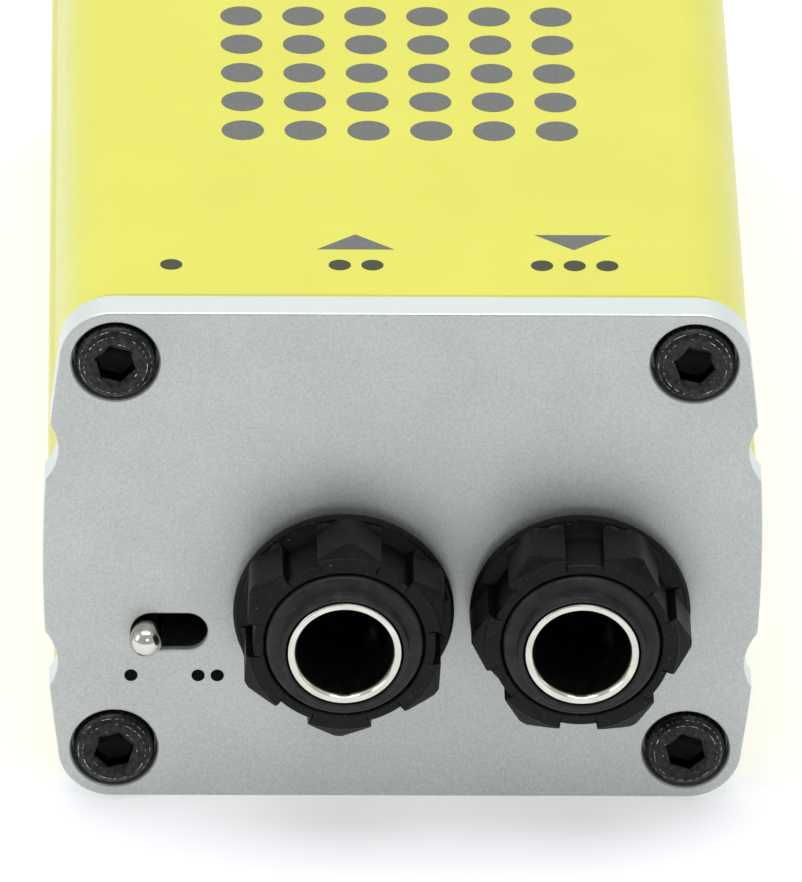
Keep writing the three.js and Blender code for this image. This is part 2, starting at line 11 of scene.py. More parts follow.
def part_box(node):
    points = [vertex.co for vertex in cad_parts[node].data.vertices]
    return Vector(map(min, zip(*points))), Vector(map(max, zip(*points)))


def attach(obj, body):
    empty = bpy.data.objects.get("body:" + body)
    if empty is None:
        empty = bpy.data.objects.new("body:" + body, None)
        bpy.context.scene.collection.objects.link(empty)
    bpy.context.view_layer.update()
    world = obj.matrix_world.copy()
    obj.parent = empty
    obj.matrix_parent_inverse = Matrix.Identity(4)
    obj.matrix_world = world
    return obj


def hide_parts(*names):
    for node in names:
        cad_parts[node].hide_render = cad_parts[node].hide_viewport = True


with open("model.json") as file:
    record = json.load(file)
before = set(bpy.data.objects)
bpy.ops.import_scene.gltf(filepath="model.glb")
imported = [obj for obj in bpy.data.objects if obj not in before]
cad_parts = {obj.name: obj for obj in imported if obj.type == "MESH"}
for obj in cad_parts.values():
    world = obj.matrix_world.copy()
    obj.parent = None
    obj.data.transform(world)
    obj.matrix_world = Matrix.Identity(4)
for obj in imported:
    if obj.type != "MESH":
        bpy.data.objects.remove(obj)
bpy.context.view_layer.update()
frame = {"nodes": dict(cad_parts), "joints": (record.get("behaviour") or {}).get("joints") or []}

mm = 0.001

# The camera stands a metre in front of the box on a long lens, above it and a little to its
# left, and leans by less than a degree.
plate_low, plate_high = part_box("front_plate")
face_y = plate_low.y
middle_z = (plate_low.z + plate_high.z) / 2
half_height = (plate_high.z - plate_low.z) / 2
half_width = (plate_high.x - plate_low.x) / 2
camera_aim = Vector((-0.13 * mm, face_y + 3.78 * mm, middle_z + 6.88 * mm))
camera_distance = 1.0817
camera_height_angle = math.radians(28.541)
camera_side_angle = math.radians(1.262)
camera_lean = math.radians(0.798)
sight = Vector((
    math.sin(camera_side_angle) * math.cos(camera_height_angle),
    math.cos(camera_side_angle) * math.cos(camera_height_angle),
    -math.sin(camera_height_angle),
))
level = Vector((sight.y, -sight.x, 0)).normalized()
rightwards = math.cos(camera_lean) * level + math.sin(camera_lean) * level.cross(sight)
upwards = rightwards.cross(sight)
camera_data = bpy.data.cameras.new("camera")
camera_data.lens = 653.8
camera_data.sensor_width = 36
camera_data.clip_start = 0.05
camera = bpy.data.objects.new("camera", camera_data)
camera.matrix_world = Matrix.Translation(camera_aim - camera_distance * sight) @ Matrix(
    (rightwards, upwards, -sight)).transposed().to_4x4()
bpy.context.scene.collection.objects.link(camera)
bpy.context.scene.camera = camera

# The studio is a pale room, brighter behind the box than in front of it, with a broad soft box
# overhead, and smaller ones at the left and in front. The floor is lit a little from below, as a
# light table is.
class Value:
    """A number, colour or vector that a node gives, with Python's arithmetic for numbers."""

    def __init__(self, socket):
        self.socket = socket
        self.tree = socket.id_data

    def node(self, kind, settings=None, sockets=None, output=0):
        made = self.tree.nodes.new(kind)
        for name, setting in (settings or {}).items():
            setattr(made, name, setting)
        for name, given in (sockets or {}).items():
            if isinstance(given, Value):
                self.tree.links.new(given.socket, made.inputs[name])
            else:
                made.inputs[name].default_value = given
        return Value(made.outputs[output])

    def maths(self, operation, *values):
        return self.node("ShaderNodeMath", {"operation": operation}, dict(enumerate(values)))

    def __add__(self, other):
        return self.maths("ADD", self, other)

    def __sub__(self, other):
        return self.maths("SUBTRACT", self, other)

    def __rsub__(self, other):
        return self.maths("SUBTRACT", other, self)

    def __mul__(self, other):
        return self.maths("MULTIPLY", self, other)

    __radd__ = __add__
    __rmul__ = __mul__

    def noise(self, size, detail=2.0):
        """Soft noise from 0 to 1, with features of about that size in metres."""
        return self.node("ShaderNodeTexNoise", None, {"Vector": self, "Scale": 1 / size, "Detail": detail})

    def cells(self, size, randomness=1.0):
        """The distance to the nearest of scattered points, in shares of their spacing."""
        return self.node("ShaderNodeTexVoronoi", None, {
            "Vector": self, "Scale": 1 / size, "Randomness": randomness})

    def between(self, low, high):
        """0 at and below low, 1 at and above high."""
        sockets = {"Value": self, "From Min": low, "From Max": high}
        return self.node("ShaderNodeMapRange", None, sockets)

    def blend(self, first, second):
        """One colour where this is 0 and the other where it is 1."""
        return self.node("ShaderNodeMix", {"data_type": "RGBA"}, {0: self, 6: first, 7: second}, 2)

    def bump(self, strength, height):
        sockets = {"Height": self, "Strength": strength, "Distance": height}
        return self.node("ShaderNodeBump", None, sockets)


bpy.context.scene.view_settings.view_transform = "Standard"
room = bpy.data.worlds.new("room")
room.use_nodes = True
room_light = room.node_tree.nodes["Background"]
room_light.inputs["Color"].default_value = (0.97, 0.99, 1, 1)
directions = Value(room.node_tree.nodes.new("ShaderNodeTexCoord").outputs["Generated"])
towards_front = directions.node(
    "ShaderNodeVectorMath", {"operation": "DOT_PRODUCT"}, {0: directions, 1: tuple(-sight)}, 1)
brightness = 0.72 - 0.3 * towards_front
room.node_tree.links.new(brightness.socket, room_light.inputs["Strength"])
bpy.context.scene.world = room


def soft_box(name, place, target, width, depth, watts):
    light = bpy.data.lights.new(name, "AREA")
    light.shape = "RECTANGLE"
    light.size = width
    light.size_y = depth
    light.energy = watts
    lamp = bpy.data.objects.new(name, light)
    aim = (Vector(target) - Vector(place)).to_track_quat("-Z", "Y")
    lamp.matrix_world = Matrix.Translation(place) @ aim.to_matrix().to_4x4()
    bpy.context.scene.collection.objects.link(lamp)


soft_box("overhead", (0, 0.02, 1.1), (0, 0, 0), 1.0, 0.7, 8.0)
soft_box("left_side", (-0.95, -0.3, 0.5), (0, 0, 0.02), 0.3, 0.5, 1.6)
soft_box("front_fill", (0.25, -1.2, 0.75), (0, 0, 0.02), 0.5, 0.35, 1.1)

floor_mesh = bpy.data.meshes.new("floor")
floor_half = 4
floor_mesh.from_pydata(
    [(-floor_half, -floor_half, 0), (floor_half, -floor_half, 0),
     (floor_half, floor_half, 0), (-floor_half, floor_half, 0)], [], [(0, 1, 2, 3)])
floor = bpy.data.objects.new("floor", floor_mesh)
bpy.context.scene.collection.objects.link(floor)
floor_paper = bpy.data.materials.new("floor_paper")
floor_paper.use_nodes = True
floor_shader = floor_paper.node_tree.nodes["Principled BSDF"]
floor_shader.inputs["Base Color"].default_value = (0.58, 0.58, 0.595, 1)
floor_shader.inputs["Roughness"].default_value = 0.9
floor_shader.inputs["Specular IOR Level"].default_value = 0
floor_shader.inputs["Emission Color"].default_value = (0.98, 0.98, 1, 1)
floor_shader.inputs["Emission Strength"].default_value = 0.46
floor_mesh.materials.append(floor_paper)


# The sleeve is an aluminium extrusion with slightly crowned sides, two shallow grooves along
# each, a screw port in every corner and a rib over each board edge. Its paint is a satin yellow.
def shade(red, green, blue):
    """A colour as a painter names it, 0 to 1 as seen, turned to light amounts."""
    return tuple(((c + 0.055) / 1.055) ** 2.4 if c > 0.04 else c / 12.92 for c in (red, green, blue)) + (1,)


def new_finish(name):
    """A material, its shader's sockets, and the object coordinates for its patterns."""
    finish = bpy.data.materials.new(name)
    finish.use_nodes = True
    shader = finish.node_tree.nodes["Principled BSDF"]
    coordinates = finish.node_tree.nodes.new("ShaderNodeTexCoord")
    return finish, shader, Value(coordinates.outputs["Object"])


def feed(shader, **sockets):
    for name, given in sockets.items():
        socket = shader.inputs[name.replace("_", " ")]
        if isinstance(given, Value):
            given.tree.links.new(given.socket, socket)
        else:
            socket.default_value = given


yellow_paint, shader, here = new_finish("yellow_paint")
mottle = here.noise(9 * mm, 3)
skin = here.noise(0.55 * mm, 2)
feed(
    shader,
    Base_Color=mottle.between(0.3, 0.7).blend(shade(0.828, 0.82, 0.275), shade(0.843, 0.835, 0.295)),
    Roughness=0.36 + 0.1 * here.noise(2 * mm),
    Normal=skin.bump(0.1, 0.02 * mm),
    Coat_Weight=0.25,
    Coat_Roughness=0.28,
)


def finish_object(name, mesh, finish, smooth_below=35):
    """A named object for a mesh, with its finish, smooth except where it turns sharply."""
    mesh.name = name
    mesh.materials.clear()
    mesh.materials.append(finish)
    mesh.shade_smooth()
    mesh.set_sharp_from_angle(angle=math.radians(smooth_below))
    made = bpy.data.objects.new(name, mesh)
    bpy.context.scene.collection.objects.link(made)
    return made


def push_in(points, depth):
    """A closed loop of points moved to its left by a depth, square to its line."""
    moved = []
    for i, point in enumerate(points):
        before = (point - points[i - 1]).normalized()
        after = (points[(i + 1) % len(points)] - point).normalized()
        normal = Vector((-before.y - after.y, before.x + after.x)).normalized()
        lean = max(0.5, normal.dot(Vector((-after.y, after.x))))
        moved.append(point + normal * depth / lean)
    return moved


def extrusion(loops):
    """A mesh along Y with holes. Each loop in X and Z has its metal on its left, and a profile of
    (how far it is pushed into the metal, or the points it becomes, and Y) from front to back."""
    body = bmesh.new()
    ends = ([], [])
    for points, profile in loops:
        rings = []
        for depth, y in profile:
            ring = depth if isinstance(depth, list) else push_in(points, depth) if depth else points
            rings.append([body.verts.new((p.x, y, p.y)) for p in ring])
        for near, far in zip(rings, rings[1:]):
            for i in range(len(near)):
                j = (i + 1) % len(near)
                body.faces.new((near[i], far[i], far[j], near[j]))
        ends[0].append(rings[0])
        ends[1].append(rings[-1])
    for rings, outward in zip(ends, (-1, 1)):
        corners = [v for ring in rings for v in ring]
        flat = [[Vector((v.co.x, v.co.z, 0)) for v in ring] for ring in rings]
        for triangle in geometry.tessellate_polygon(flat):
            face = body.faces.new([corners[i] for i in triangle])
            face.normal_update()
            if face.normal.y * outward < 0:
                face.normal_flip()
    mesh = bpy.data.meshes.new("extrusion")
    body.to_mesh(mesh)
    body.free()
    return mesh


def arc(x, z, r, start, end, steps):
    """Points on an arc, its angles in degrees, anticlockwise if end is the greater."""
    turns = [math.radians(start + (end - start) * k / steps) for k in range(steps + 1)]
    return [Vector((x + r * math.cos(a), z + r * math.sin(a))) for a in turns]


corner_radius = 3.7 * mm
corner_height = half_height - corner_radius
crown_drop = 1.05 * mm
groove_height = 7.95 * mm
groove_half = 2.1 * mm
groove_depth = 0.7 * mm


def side_reach(z):
    """How far the case's side is from its middle plane at a height from the middle."""
    across = (abs(z) - groove_height) / groove_half
    groove = groove_depth * (1 - across ** 2) if abs(across) < 1 else 0
    return half_width - crown_drop * (z / corner_height) ** 2 - groove


def case_outline(inset):
    steps = 140
    heights = [corner_height * (2 * k / steps - 1) for k in range(1, steps)]
    for edge in (groove_height - groove_half, groove_height + groove_half):
        heights += [edge, -edge]
    right = [Vector((side_reach(z) - inset, middle_z + z)) for z in sorted(heights)]
    left = [Vector((-p.x, p.y)) for p in reversed(right)]
    x = side_reach(corner_height) - inset - corner_radius
    top, bottom = middle_z + corner_height, middle_z - corner_height
    turns = [arc(x, top, corner_radius, 0, 90, 14), arc(-x, top, corner_radius, 90, 180, 14),
             arc(-x, bottom, corner_radius, 180, 270, 14), arc(x, bottom, corner_radius, 270, 360, 14)]
    return right + turns[0] + turns[1] + left + turns[2] + turns[3]


screw_x = 19.43 * mm
screw_z = 14.89 * mm
screw_places = [(sx * screw_x, middle_z + sz * screw_z) for sz in (1, -1) for sx in (-1, 1)]


def round_hole(x, z, r, steps=48):
    return arc(x, z, r, 360, 360 / steps, steps - 1)


def hollow_loop():
    """The sleeve's inside: flat walls, ribs over the board, and the ports' round backs."""
    wall_x, wall_z, port = 22 * mm, half_height - 2 * mm, 3 * mm
    rib_reach, rib_low, rib_high = 1.6 * mm, 8.7 * mm - middle_z, 9.9 * mm - middle_z
    low_angle = -math.degrees(math.acos((wall_x - screw_x) / port))
    high_angle = -180 - math.degrees(math.asin((wall_z - screw_z) / port))
    corner = arc(screw_x, screw_z, port, low_angle, high_angle, 20)
    rib = [Vector((wall_x, rib_high)), Vector((wall_x - rib_reach, rib_high)),
           Vector((wall_x - rib_reach, rib_low)), Vector((wall_x, rib_low))]
    lower = [Vector((p.x, -p.y)) for p in reversed(corner)]
    right = [Vector((p.x, p.y)) for p in reversed(corner)] + rib + lower
    left = [Vector((-p.x, p.y)) for p in reversed(right)]
    return [p + Vector((0, middle_z)) for p in right + left]


sleeve_low, sleeve_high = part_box("case_sleeve")
ends = (sleeve_low.y, sleeve_high.y)
sawn_edge = 0.2 * mm
eased = [(sawn_edge, ends[0]), (0, ends[0] + sawn_edge), (0, ends[1] - sawn_edge), (sawn_edge, ends[1])]
straight = [(0, ends[0]), (0, ends[1])]
port_holes = [(round_hole(x, z, 1.75 * mm), straight) for x, z in screw_places]
sleeve = finish_object("sleeve", extrusion(
    [(case_outline(0.3 * mm), eased), (hollow_loop(), straight)] + port_holes), yellow_paint, 20)
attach(sleeve, "box")
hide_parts("case_sleeve")


# The end plates are sawn from the same section in 2.6 mm aluminium, drilled and counterbored
# at the corners, slotted for the toggle, then bead-blasted and clear anodised.
blasted_aluminium, shader, here = new_finish("blasted_aluminium")
pits = here.cells(0.16 * mm)
grain = here.noise(0.13 * mm, 2)
cloud = here.noise(6 * mm, 3)
fleck = here.cells(1.7 * mm).between(0.03, 0.06)
normal = here.node("ShaderNodeNewGeometry", output=1)
# Faces square to the plate's face (its top band, edges and hole walls) are painted paler: a painted
# highlight for the light they catch.
painted_rim_highlight = here.maths("ABSOLUTE", here.node("ShaderNodeSeparateXYZ", None, {0: normal}, 1)).between(0.8, 0.3)
satin = (0.75 * grain + 0.25 * cloud).between(0.3, 0.7).blend(
    shade(0.69, 0.71, 0.695), shade(0.8, 0.815, 0.8))
feed(
    shader,
    Base_Color=painted_rim_highlight.blend(satin, shade(0.865, 0.89, 0.885)),
    Metallic=0.75,
    Roughness=0.4 + 0.2 * grain,
    Normal=(pits + 0.5 * grain + 0.4 * fleck).bump(0.2, 0.03 * mm),
)

counterbore_r = 2.95 * mm
counterbore_deep = 1.9 * mm
slot_half = 2.6 * mm
slot_r = 1.42 * mm
toggle_x = -15.7 * mm
toggle_z = middle_z - 5.85 * mm
web = 0.6 * mm


def slot_loop(half, r, steps=24):
    reach = half - r
    right = arc(toggle_x + reach, toggle_z, r, 90, -90, steps)
    left = arc(toggle_x - reach, toggle_z, r, 270, 90, steps)
    return right + left


def pocket_ring(points, half_x, half_z):
    """Each point of a loop carried straight out from the toggle's axis to a box around it."""
    carried = []
    for p in points:
        x, z = p.x - toggle_x, p.y - toggle_z
        scale = min(half_x / max(abs(x), 1e-9), half_z / max(abs(z), 1e-9))
        carried.append(Vector((toggle_x + x * scale, toggle_z + z * scale)))
    return carried


def end_plate(name, outer, inner, holes):
    """A plate whose outer face is at outer. Its edges are eased by a file."""
    out = 1 if outer > inner else -1
    eased_by = 0.14 * mm
    small = 0.1 * mm

    def ordered(profile):
        return profile if out < 0 else profile[::-1]

    edge = ordered([(eased_by, outer), (0.04 * mm, outer - out * 0.04 * mm), (0, outer - out * eased_by),
                    (0, inner + out * small), (small, inner)])
    loops = [(case_outline(0), edge)]
    floor_y = outer - out * counterbore_deep
    for x, z in screw_places:
        step = counterbore_r - 1.75 * mm
        bore = ordered([(step + small, outer), (step, outer - out * small), (step, floor_y),
                        (0, floor_y), (0, inner)])
        loops.append((round_hole(x, z, 1.75 * mm), bore))
    for x, z, r in holes:
        wall = ordered([(small, outer), (0, outer - out * small), (0, inner)])
        loops.append((round_hole(x, z, r, 96), wall))
    slot = slot_loop(slot_half, slot_r)
    pocket, web_y = pocket_ring(slot, 3.9 * mm, 2.5 * mm), outer - out * web
    wall = ordered([(small, outer), (0, outer - out * small), (0, web_y), (pocket, web_y), (pocket, inner)])
    loops.append((slot, wall))
    plate = finish_object(name, extrusion(loops), blasted_aluminium, 20)
    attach(plate, "box")
    return plate


jack_places = {"input": -3.95 * mm, "tuner": 12.03 * mm}
jack_z = middle_z - 3.64 * mm
front_plate = end_plate("front_end_plate", face_y, plate_high.y,
                        [(x, jack_z, 5.65 * mm) for x in jack_places.values()])
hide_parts("front_plate")

rear_low, rear_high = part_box("rear_plate")
shell_low, shell_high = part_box("xlr_shell")
xlr_x = (shell_low.x + shell_high.x) / 2
xlr_screws = [(xlr_x + 9.5 * mm, middle_z + 12 * mm), (xlr_x - 9.5 * mm, middle_z - 12 * mm)]
rear_plate = end_plate("rear_end_plate", rear_high.y, rear_low.y,
                       [(xlr_x, middle_z, 11.3 * mm)] + [(x, z, 1.75 * mm) for x, z in xlr_screws])
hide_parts("rear_plate")


# The corner screws are M3 socket head cap screws in black oxide, with a knurled head. One screw
# is turned here, and a node tree stands it at the four corners of a plate, each turned its own way.
def spun(rings, x=0.0, y=0.0, z=0.0, facing=-1, ring_shut=False):
    """A mesh from rings about a Y axis. A ring is (radii around it or one radius, how far out it
    is), and angles are even unless radii are (angle, radius) pairs. Radius 0 makes a pole."""
    body = bmesh.new()
    count = max(len(r) for r, _ in rings if not isinstance(r, (int, float)))
    made = []
    for radii, out in rings:
        if isinstance(radii, (int, float)) and radii == 0:
            made.append([body.verts.new((x, y + facing * out, z))] * count)
            continue
        if isinstance(radii, (int, float)):
            radii = [radii] * count
        pairs = radii if isinstance(radii[0], tuple) else [
            (2 * math.pi * k / count, r) for k, r in enumerate(radii)]
        made.append([body.verts.new((x + r * math.sin(a), y + facing * out, z + r * math.cos(a)))
                     for a, r in pairs])
    pairs = list(zip(made, made[1:]))
    if ring_shut:
        pairs.append((made[-1], made[0]))
    for near, far in pairs:
        for i in range(count):
            j = (i + 1) % count
            loop = list(dict.fromkeys((near[i], near[j], far[j], far[i])))
            if len(loop) > 2:
                body.faces.new(loop)
    bmesh.ops.recalc_face_normals(body, faces=body.faces)
    mesh = bpy.data.meshes.new("spun")
    body.to_mesh(mesh)
    body.free()
    return mesh


black_oxide, shader, here = new_finish("black_oxide")
streak = here.noise(0.35 * mm, 3)
# A bright broken ring is painted on each head's rim, knurl crests and socket mouth: painted glints, and
# oxide rubbed bare there.
wear_and_painted_light = here.node("ShaderNodeAttribute", {"attribute_name": "wear_and_painted_light"}, output=2)
bare_and_glint = (wear_and_painted_light * here.noise(0.3 * mm, 3)).between(0.47, 0.54)
# The socket's depths are painted near black: painted shade.
inside = wear_and_painted_light.between(0, -0.5)
oxide = streak.between(0.35, 0.75).blend(shade(0.13, 0.13, 0.125), shade(0.23, 0.23, 0.225))
feed(
    shader,
    Base_Color=inside.blend(bare_and_glint.blend(oxide, shade(0.84, 0.84, 0.82)), shade(0.03, 0.03, 0.03)),
    Metallic=0.85,
    Roughness=0.26 + 0.2 * streak,
    Normal=here.noise(0.14 * mm, 2).bump(0.5, 0.03 * mm),
)


def hexagon_radius(angle, half_across):
    sixth = math.pi / 3
    return half_across / math.cos((angle % sixth) - sixth / 2)


def cap_screw(head_high, length):
    """A screw with its head's face at 0, pointing its head along -Y."""
    count = 144
    head, shank = 2.7 * mm, 1.45 * mm
    knurl = [head + 0.035 * mm * (1 - abs((k % 4) - 2)) for k in range(count)]
    socket = [hexagon_radius(2 * math.pi * k / count, 1.2 * mm) for k in range(count)]
    eased = [0.5 * (r + 1.5 * mm) for r in socket]
    rings = [
        (0, -length), (0.9 * shank, -length), (shank, -length + 0.4 * mm), (shank, -head_high),
        (head - 0.1 * mm, -head_high), (knurl, -head_high + 0.15 * mm), (knurl, -0.6 * mm),
        (head - 0.08 * mm, -0.45 * mm), (head - 0.2 * mm, -0.3 * mm), (head - 0.27 * mm, -0.23 * mm),
        (head - 0.34 * mm, -0.18 * mm), (head - 0.5 * mm, -0.05 * mm), (head - 0.57 * mm, -0.01 * mm),
        (head - 0.66 * mm, 0), (1.66 * mm, 0), (1.56 * mm, -0.03 * mm), (eased, -0.12 * mm),
        (socket, -0.2 * mm), (socket, -0.9 * mm), (socket, -1.35 * mm), (0.6 * mm, -1.6 * mm),
        (0, -1.75 * mm)]
    mesh = spun(rings)
    # The head's rim, knurl crests and socket mouth are marked for the painted glints and rubbed oxide.
    wear_and_glint_marks = mesh.attributes.new("wear_and_painted_light", "FLOAT", "POINT")
    for v, value in zip(mesh.vertices, wear_and_glint_marks.data):
        r, deep = math.hypot(v.co.x, v.co.z), v.co.y
        crest = 2.4 * mm < r < 2.46 * mm and deep < 0.3 * mm
        painted_rim_highlight = 2.1 * mm < r < 2.16 * mm and deep < 0.1 * mm
        mouth = 1.5 * mm < r < 1.6 * mm and deep < 0.1 * mm
        # Deep in the socket the screw is marked for painted shade.
        painted_socket_shade = r < 1.5 * mm and 0.8 * mm < deep < 2 * mm
        value.value = 1.0 if painted_rim_highlight or crest else 0.85 if mouth else -1.0 if painted_socket_shade else 0.0
    return mesh


def node_tree(name, inputs):
    """An empty geometry tree with named inputs, and what its group input gives by name."""
    tree = bpy.data.node_groups.new(name, "GeometryNodeTree")
    tree.interface.new_socket("Geometry", in_out="OUTPUT", socket_type="NodeSocketGeometry")
    tree.interface.new_socket("Geometry", in_out="INPUT", socket_type="NodeSocketGeometry")
    for label, kind in inputs.items():
        tree.interface.new_socket(label, in_out="INPUT", socket_type="NodeSocket" + kind)
    entry = tree.nodes.new("NodeGroupInput")
    return tree, {s.name: Value(s) for s in entry.outputs if s.name}


def close_tree(tree, shape, finish):
    """Ends a tree in plain mesh with its finish."""
    real = shape.node("GeometryNodeRealizeInstances", None, {"Geometry": shape})
    painted = shape.node("GeometryNodeSetMaterial", None, {"Geometry": real, "Material": finish})
    tree.links.new(painted.socket, tree.nodes.new("NodeGroupOutput").inputs[0])


def grow(name, mesh, tree, sizes, smooth_below=35):
    """Runs a tree on a mesh and keeps the result as a plain object."""
    seed = bpy.data.objects.new(name, mesh)
    bpy.context.scene.collection.objects.link(seed)
    modifier = seed.modifiers.new(name, "NODES")
    modifier.node_group = tree
    for item in tree.interface.items_tree:
        if item.in_out == "INPUT" and item.name in sizes:
            modifier[item.identifier] = sizes[item.name]
    graph = bpy.context.evaluated_depsgraph_get()
    grown = bpy.data.meshes.new_from_object(seed.evaluated_get(graph))
    bpy.data.objects.remove(seed)
    return finish_object(name, grown, [m for m in grown.materials if m][0], smooth_below)


corner_tree, given = node_tree("corner_screws", {
    "Across": "Float", "Up": "Float", "Centre": "Vector", "Turn": "Float", "Seed": "Int"})
shape = given["Geometry"]
grid = shape.node("GeometryNodeMeshGrid", None, {
    "Size X": given["Across"], "Size Y": given["Up"], "Vertices X": 2, "Vertices Y": 2})
upright = shape.node("GeometryNodeTransform", None, {"Geometry": grid, "Rotation": (math.pi / 2, 0, 0)})
own_turn = shape.node("FunctionNodeRandomValue", {"data_type": "FLOAT_VECTOR"}, {
    0: (-0.012, 0, -0.012), 1: (0.012, math.pi, 0.012), "Seed": given["Seed"]})
stood = shape.node("GeometryNodeInstanceOnPoints", None, {
    "Points": upright, "Instance": shape, "Rotation": own_turn})
about = shape.node("ShaderNodeCombineXYZ", None, {"Z": given["Turn"]})
turned = shape.node("GeometryNodeTransform", None, {
    "Geometry": stood, "Rotation": about, "Translation": given["Centre"]})
close_tree(corner_tree, turned, black_oxide)

for side, turn, seed in (("front", 0.0, 11), ("rear", math.pi, 4)):
    names = [f"{side}_screw_{k}" for k in range(1, 5)]
    low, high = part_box(names[0])
    head_y = low.y if side == "front" else high.y
    screws = grow(f"{side}_cap_screws", cap_screw(2.3 * mm, 13.3 * mm), corner_tree, {
        "Across": 2 * screw_x, "Up": 2 * screw_z, "Centre": (0, head_y, middle_z),
        "Turn": turn, "Seed": seed})
    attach(screws, "box")
    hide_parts(*names)


# The jack sockets are black glass-filled nylon: a threaded barrel in one moulding with the
# housing behind the plate. A nickel-plated tube lines each mouth, rolled with a short seam.
def nylon(name, dark, light, gloss):
    made, shader, here = new_finish(name)
    haze = here.noise(1.2 * mm, 4)
    rubbed = here.noise(0.22 * mm, 3).between(0.62, 0.72)
    # Pale specks are dust, and painted glints on the black nylon.
    dust_and_glints = here.cells(1.9 * mm).between(0.04, 0.025)
    bloom = haze.between(0.35, 0.8).blend(shade(dark, dark, dark), shade(light, light, light))
    greyed = (0.35 * rubbed).blend(bloom, shade(0.3, 0.3, 0.29))
    # The floors of the nuts' spanner notches are painted black: painted shade in the deep notches.
    painted_notch_shade = here.node("ShaderNodeAttribute", {"attribute_name": "painted_notch_shade"}, output=2)
    feed(
        shader,
        Base_Color=painted_notch_shade.blend(dust_and_glints.blend(greyed, shade(0.36, 0.36, 0.35)), shade(0, 0, 0)),
        Roughness=0.3 + 0.2 * haze,
        Normal=here.noise(0.09 * mm, 2).bump(0.18, 0.015 * mm),
        Specular_IOR_Level=gloss,
    )
    return made


black_nylon = nylon("black_nylon", 0.03, 0.08, 0.16)
grey_black_nylon = nylon("grey_black_nylon", 0.12, 0.2, 0.2)
nickel, shader, here = new_finish("nickel")
feed(
    shader,
    Base_Color=here.noise(1.5 * mm).between(0.3, 0.7).blend(
        shade(0.79, 0.79, 0.745), shade(0.87, 0.87, 0.83)),
    Metallic=1.0,
    Roughness=0.1 + 0.13 * here.noise(0.4 * mm, 3),
    Normal=here.noise(0.25 * mm, 2).bump(0.05, 0.01 * mm),
)

boss_proud = face_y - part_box("input_jack_housing")[0].y
barrel_proud = boss_proud - 1 * mm


def barrel_rings():
    """The barrel's closed section: the outside thread, the face, the boss on it and the pocket."""
    count, pitch, thread_deep, r = 96, 0.75 * mm, 0.22 * mm, 5.3 * mm
    back = -3.3 * mm
    rings = []
    steps = 64
    start, end = back, barrel_proud - 0.36 * mm
    for k in range(steps + 1):
        out = start + (end - start) * k / steps
        fade = min(1, (steps - k) / 4, k / 4)
        radii = []
        for i in range(count):
            wave = (out / pitch + i / count) % 1
            radii.append(r - fade * thread_deep * (1 - abs(2 * wave - 1)))
        rings.append((radii, out))
    rings += [
        (5.26 * mm, barrel_proud - 0.27 * mm), (5.19 * mm, barrel_proud - 0.12 * mm),
        (5.05 * mm, barrel_proud - 0.03 * mm), (4.9 * mm, barrel_proud), (4.47 * mm, barrel_proud),
        (4.38 * mm, barrel_proud + 0.04 * mm), (4.35 * mm, barrel_proud + 0.13 * mm),
        (4.35 * mm, boss_proud - 0.16 * mm), (4.31 * mm, boss_proud - 0.05 * mm),
        (4.22 * mm, boss_proud), (4.07 * mm, boss_proud), (3.99 * mm, boss_proud - 0.05 * mm),
        (3.96 * mm, boss_proud - 0.14 * mm), (3.96 * mm, back)]
    return rings


def block_mesh(*blocks):
    """One mesh of plain blocks, each given by its low and high corners."""
    body = bmesh.new()
    for low, high in blocks:
        for v in bmesh.ops.create_cube(body, size=1)["verts"]:
            v.co = Vector([low[i] + (high[i] - low[i]) * (v.co[i] + 0.5) for i in range(3)])
    mesh = bpy.data.meshes.new("blocks")
    body.to_mesh(mesh)
    body.free()
    return mesh


def join_meshes(*meshes):
    body = bmesh.new()
    for mesh in meshes:
        body.from_mesh(mesh)
    joined = bpy.data.meshes.new("joined")
    body.to_mesh(joined)
    body.free()
    return joined


for jack, x in jack_places.items():
    low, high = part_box(f"{jack}_jack_housing")
    wall = 1.2 * mm
    back, top, floor_z = plate_high.y + 0.3 * mm, high.z, low.z
    half = 7.6 * mm
    front_wall = extrusion([
        ([Vector((x + a * half, z)) for a, z in ((-1, floor_z), (1, floor_z), (1, top), (-1, top))],
         [(0, back), (0, back + wall)]),
        (round_hole(x, jack_z, 4 * mm, 48), [(0, back), (0, back + wall)])])
    shell = block_mesh(
        ((x - half, back + wall, top - wall), (x + half, high.y - wall, top)),
        ((x - half, back + wall, floor_z), (x - half + wall, high.y - wall, top - wall)),
        ((x + half - wall, back + wall, floor_z), (x + half, high.y - wall, top - wall)),
        ((x - half + wall, back + wall, floor_z), (x + half - wall, high.y - wall, floor_z + 0.5 * mm)),
        ((x - half, high.y - wall, floor_z), (x + half, high.y, top)))
    barrel = spun(barrel_rings(), x, face_y, jack_z, ring_shut=True)
    moulding = finish_object(
        f"{jack}_socket_moulding", join_meshes(front_wall, shell, barrel), grey_black_nylon)
    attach(moulding, "box")
    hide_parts(f"{jack}_jack_housing")

    count, seam_half = 120, math.radians(8)
    inside = [3.23 * mm + (0.04 * mm if abs(2 * math.pi * k / count - math.pi) < seam_half else 0)
              for k in range(count)]
    flared = [r + 0.04 * mm for r in inside]
    deep = boss_proud - 9.2 * mm
    tube = spun([
        (3.82 * mm, deep), (3.86 * mm, boss_proud - 0.3 * mm), (3.86 * mm, boss_proud - 0.12 * mm),
        (3.81 * mm, boss_proud - 0.03 * mm), (3.75 * mm, boss_proud), (3.42 * mm, boss_proud),
        (3.38 * mm, boss_proud - 0.04 * mm), (flared, boss_proud - 0.24 * mm),
        (inside, boss_proud - 0.36 * mm), (inside, deep)],
        x, face_y, jack_z, ring_shut=True)
    lining = finish_object(f"{jack}_socket_lining", tube, nickel)
    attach(lining, "box")
    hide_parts(f"{jack}_jack_ferrule")


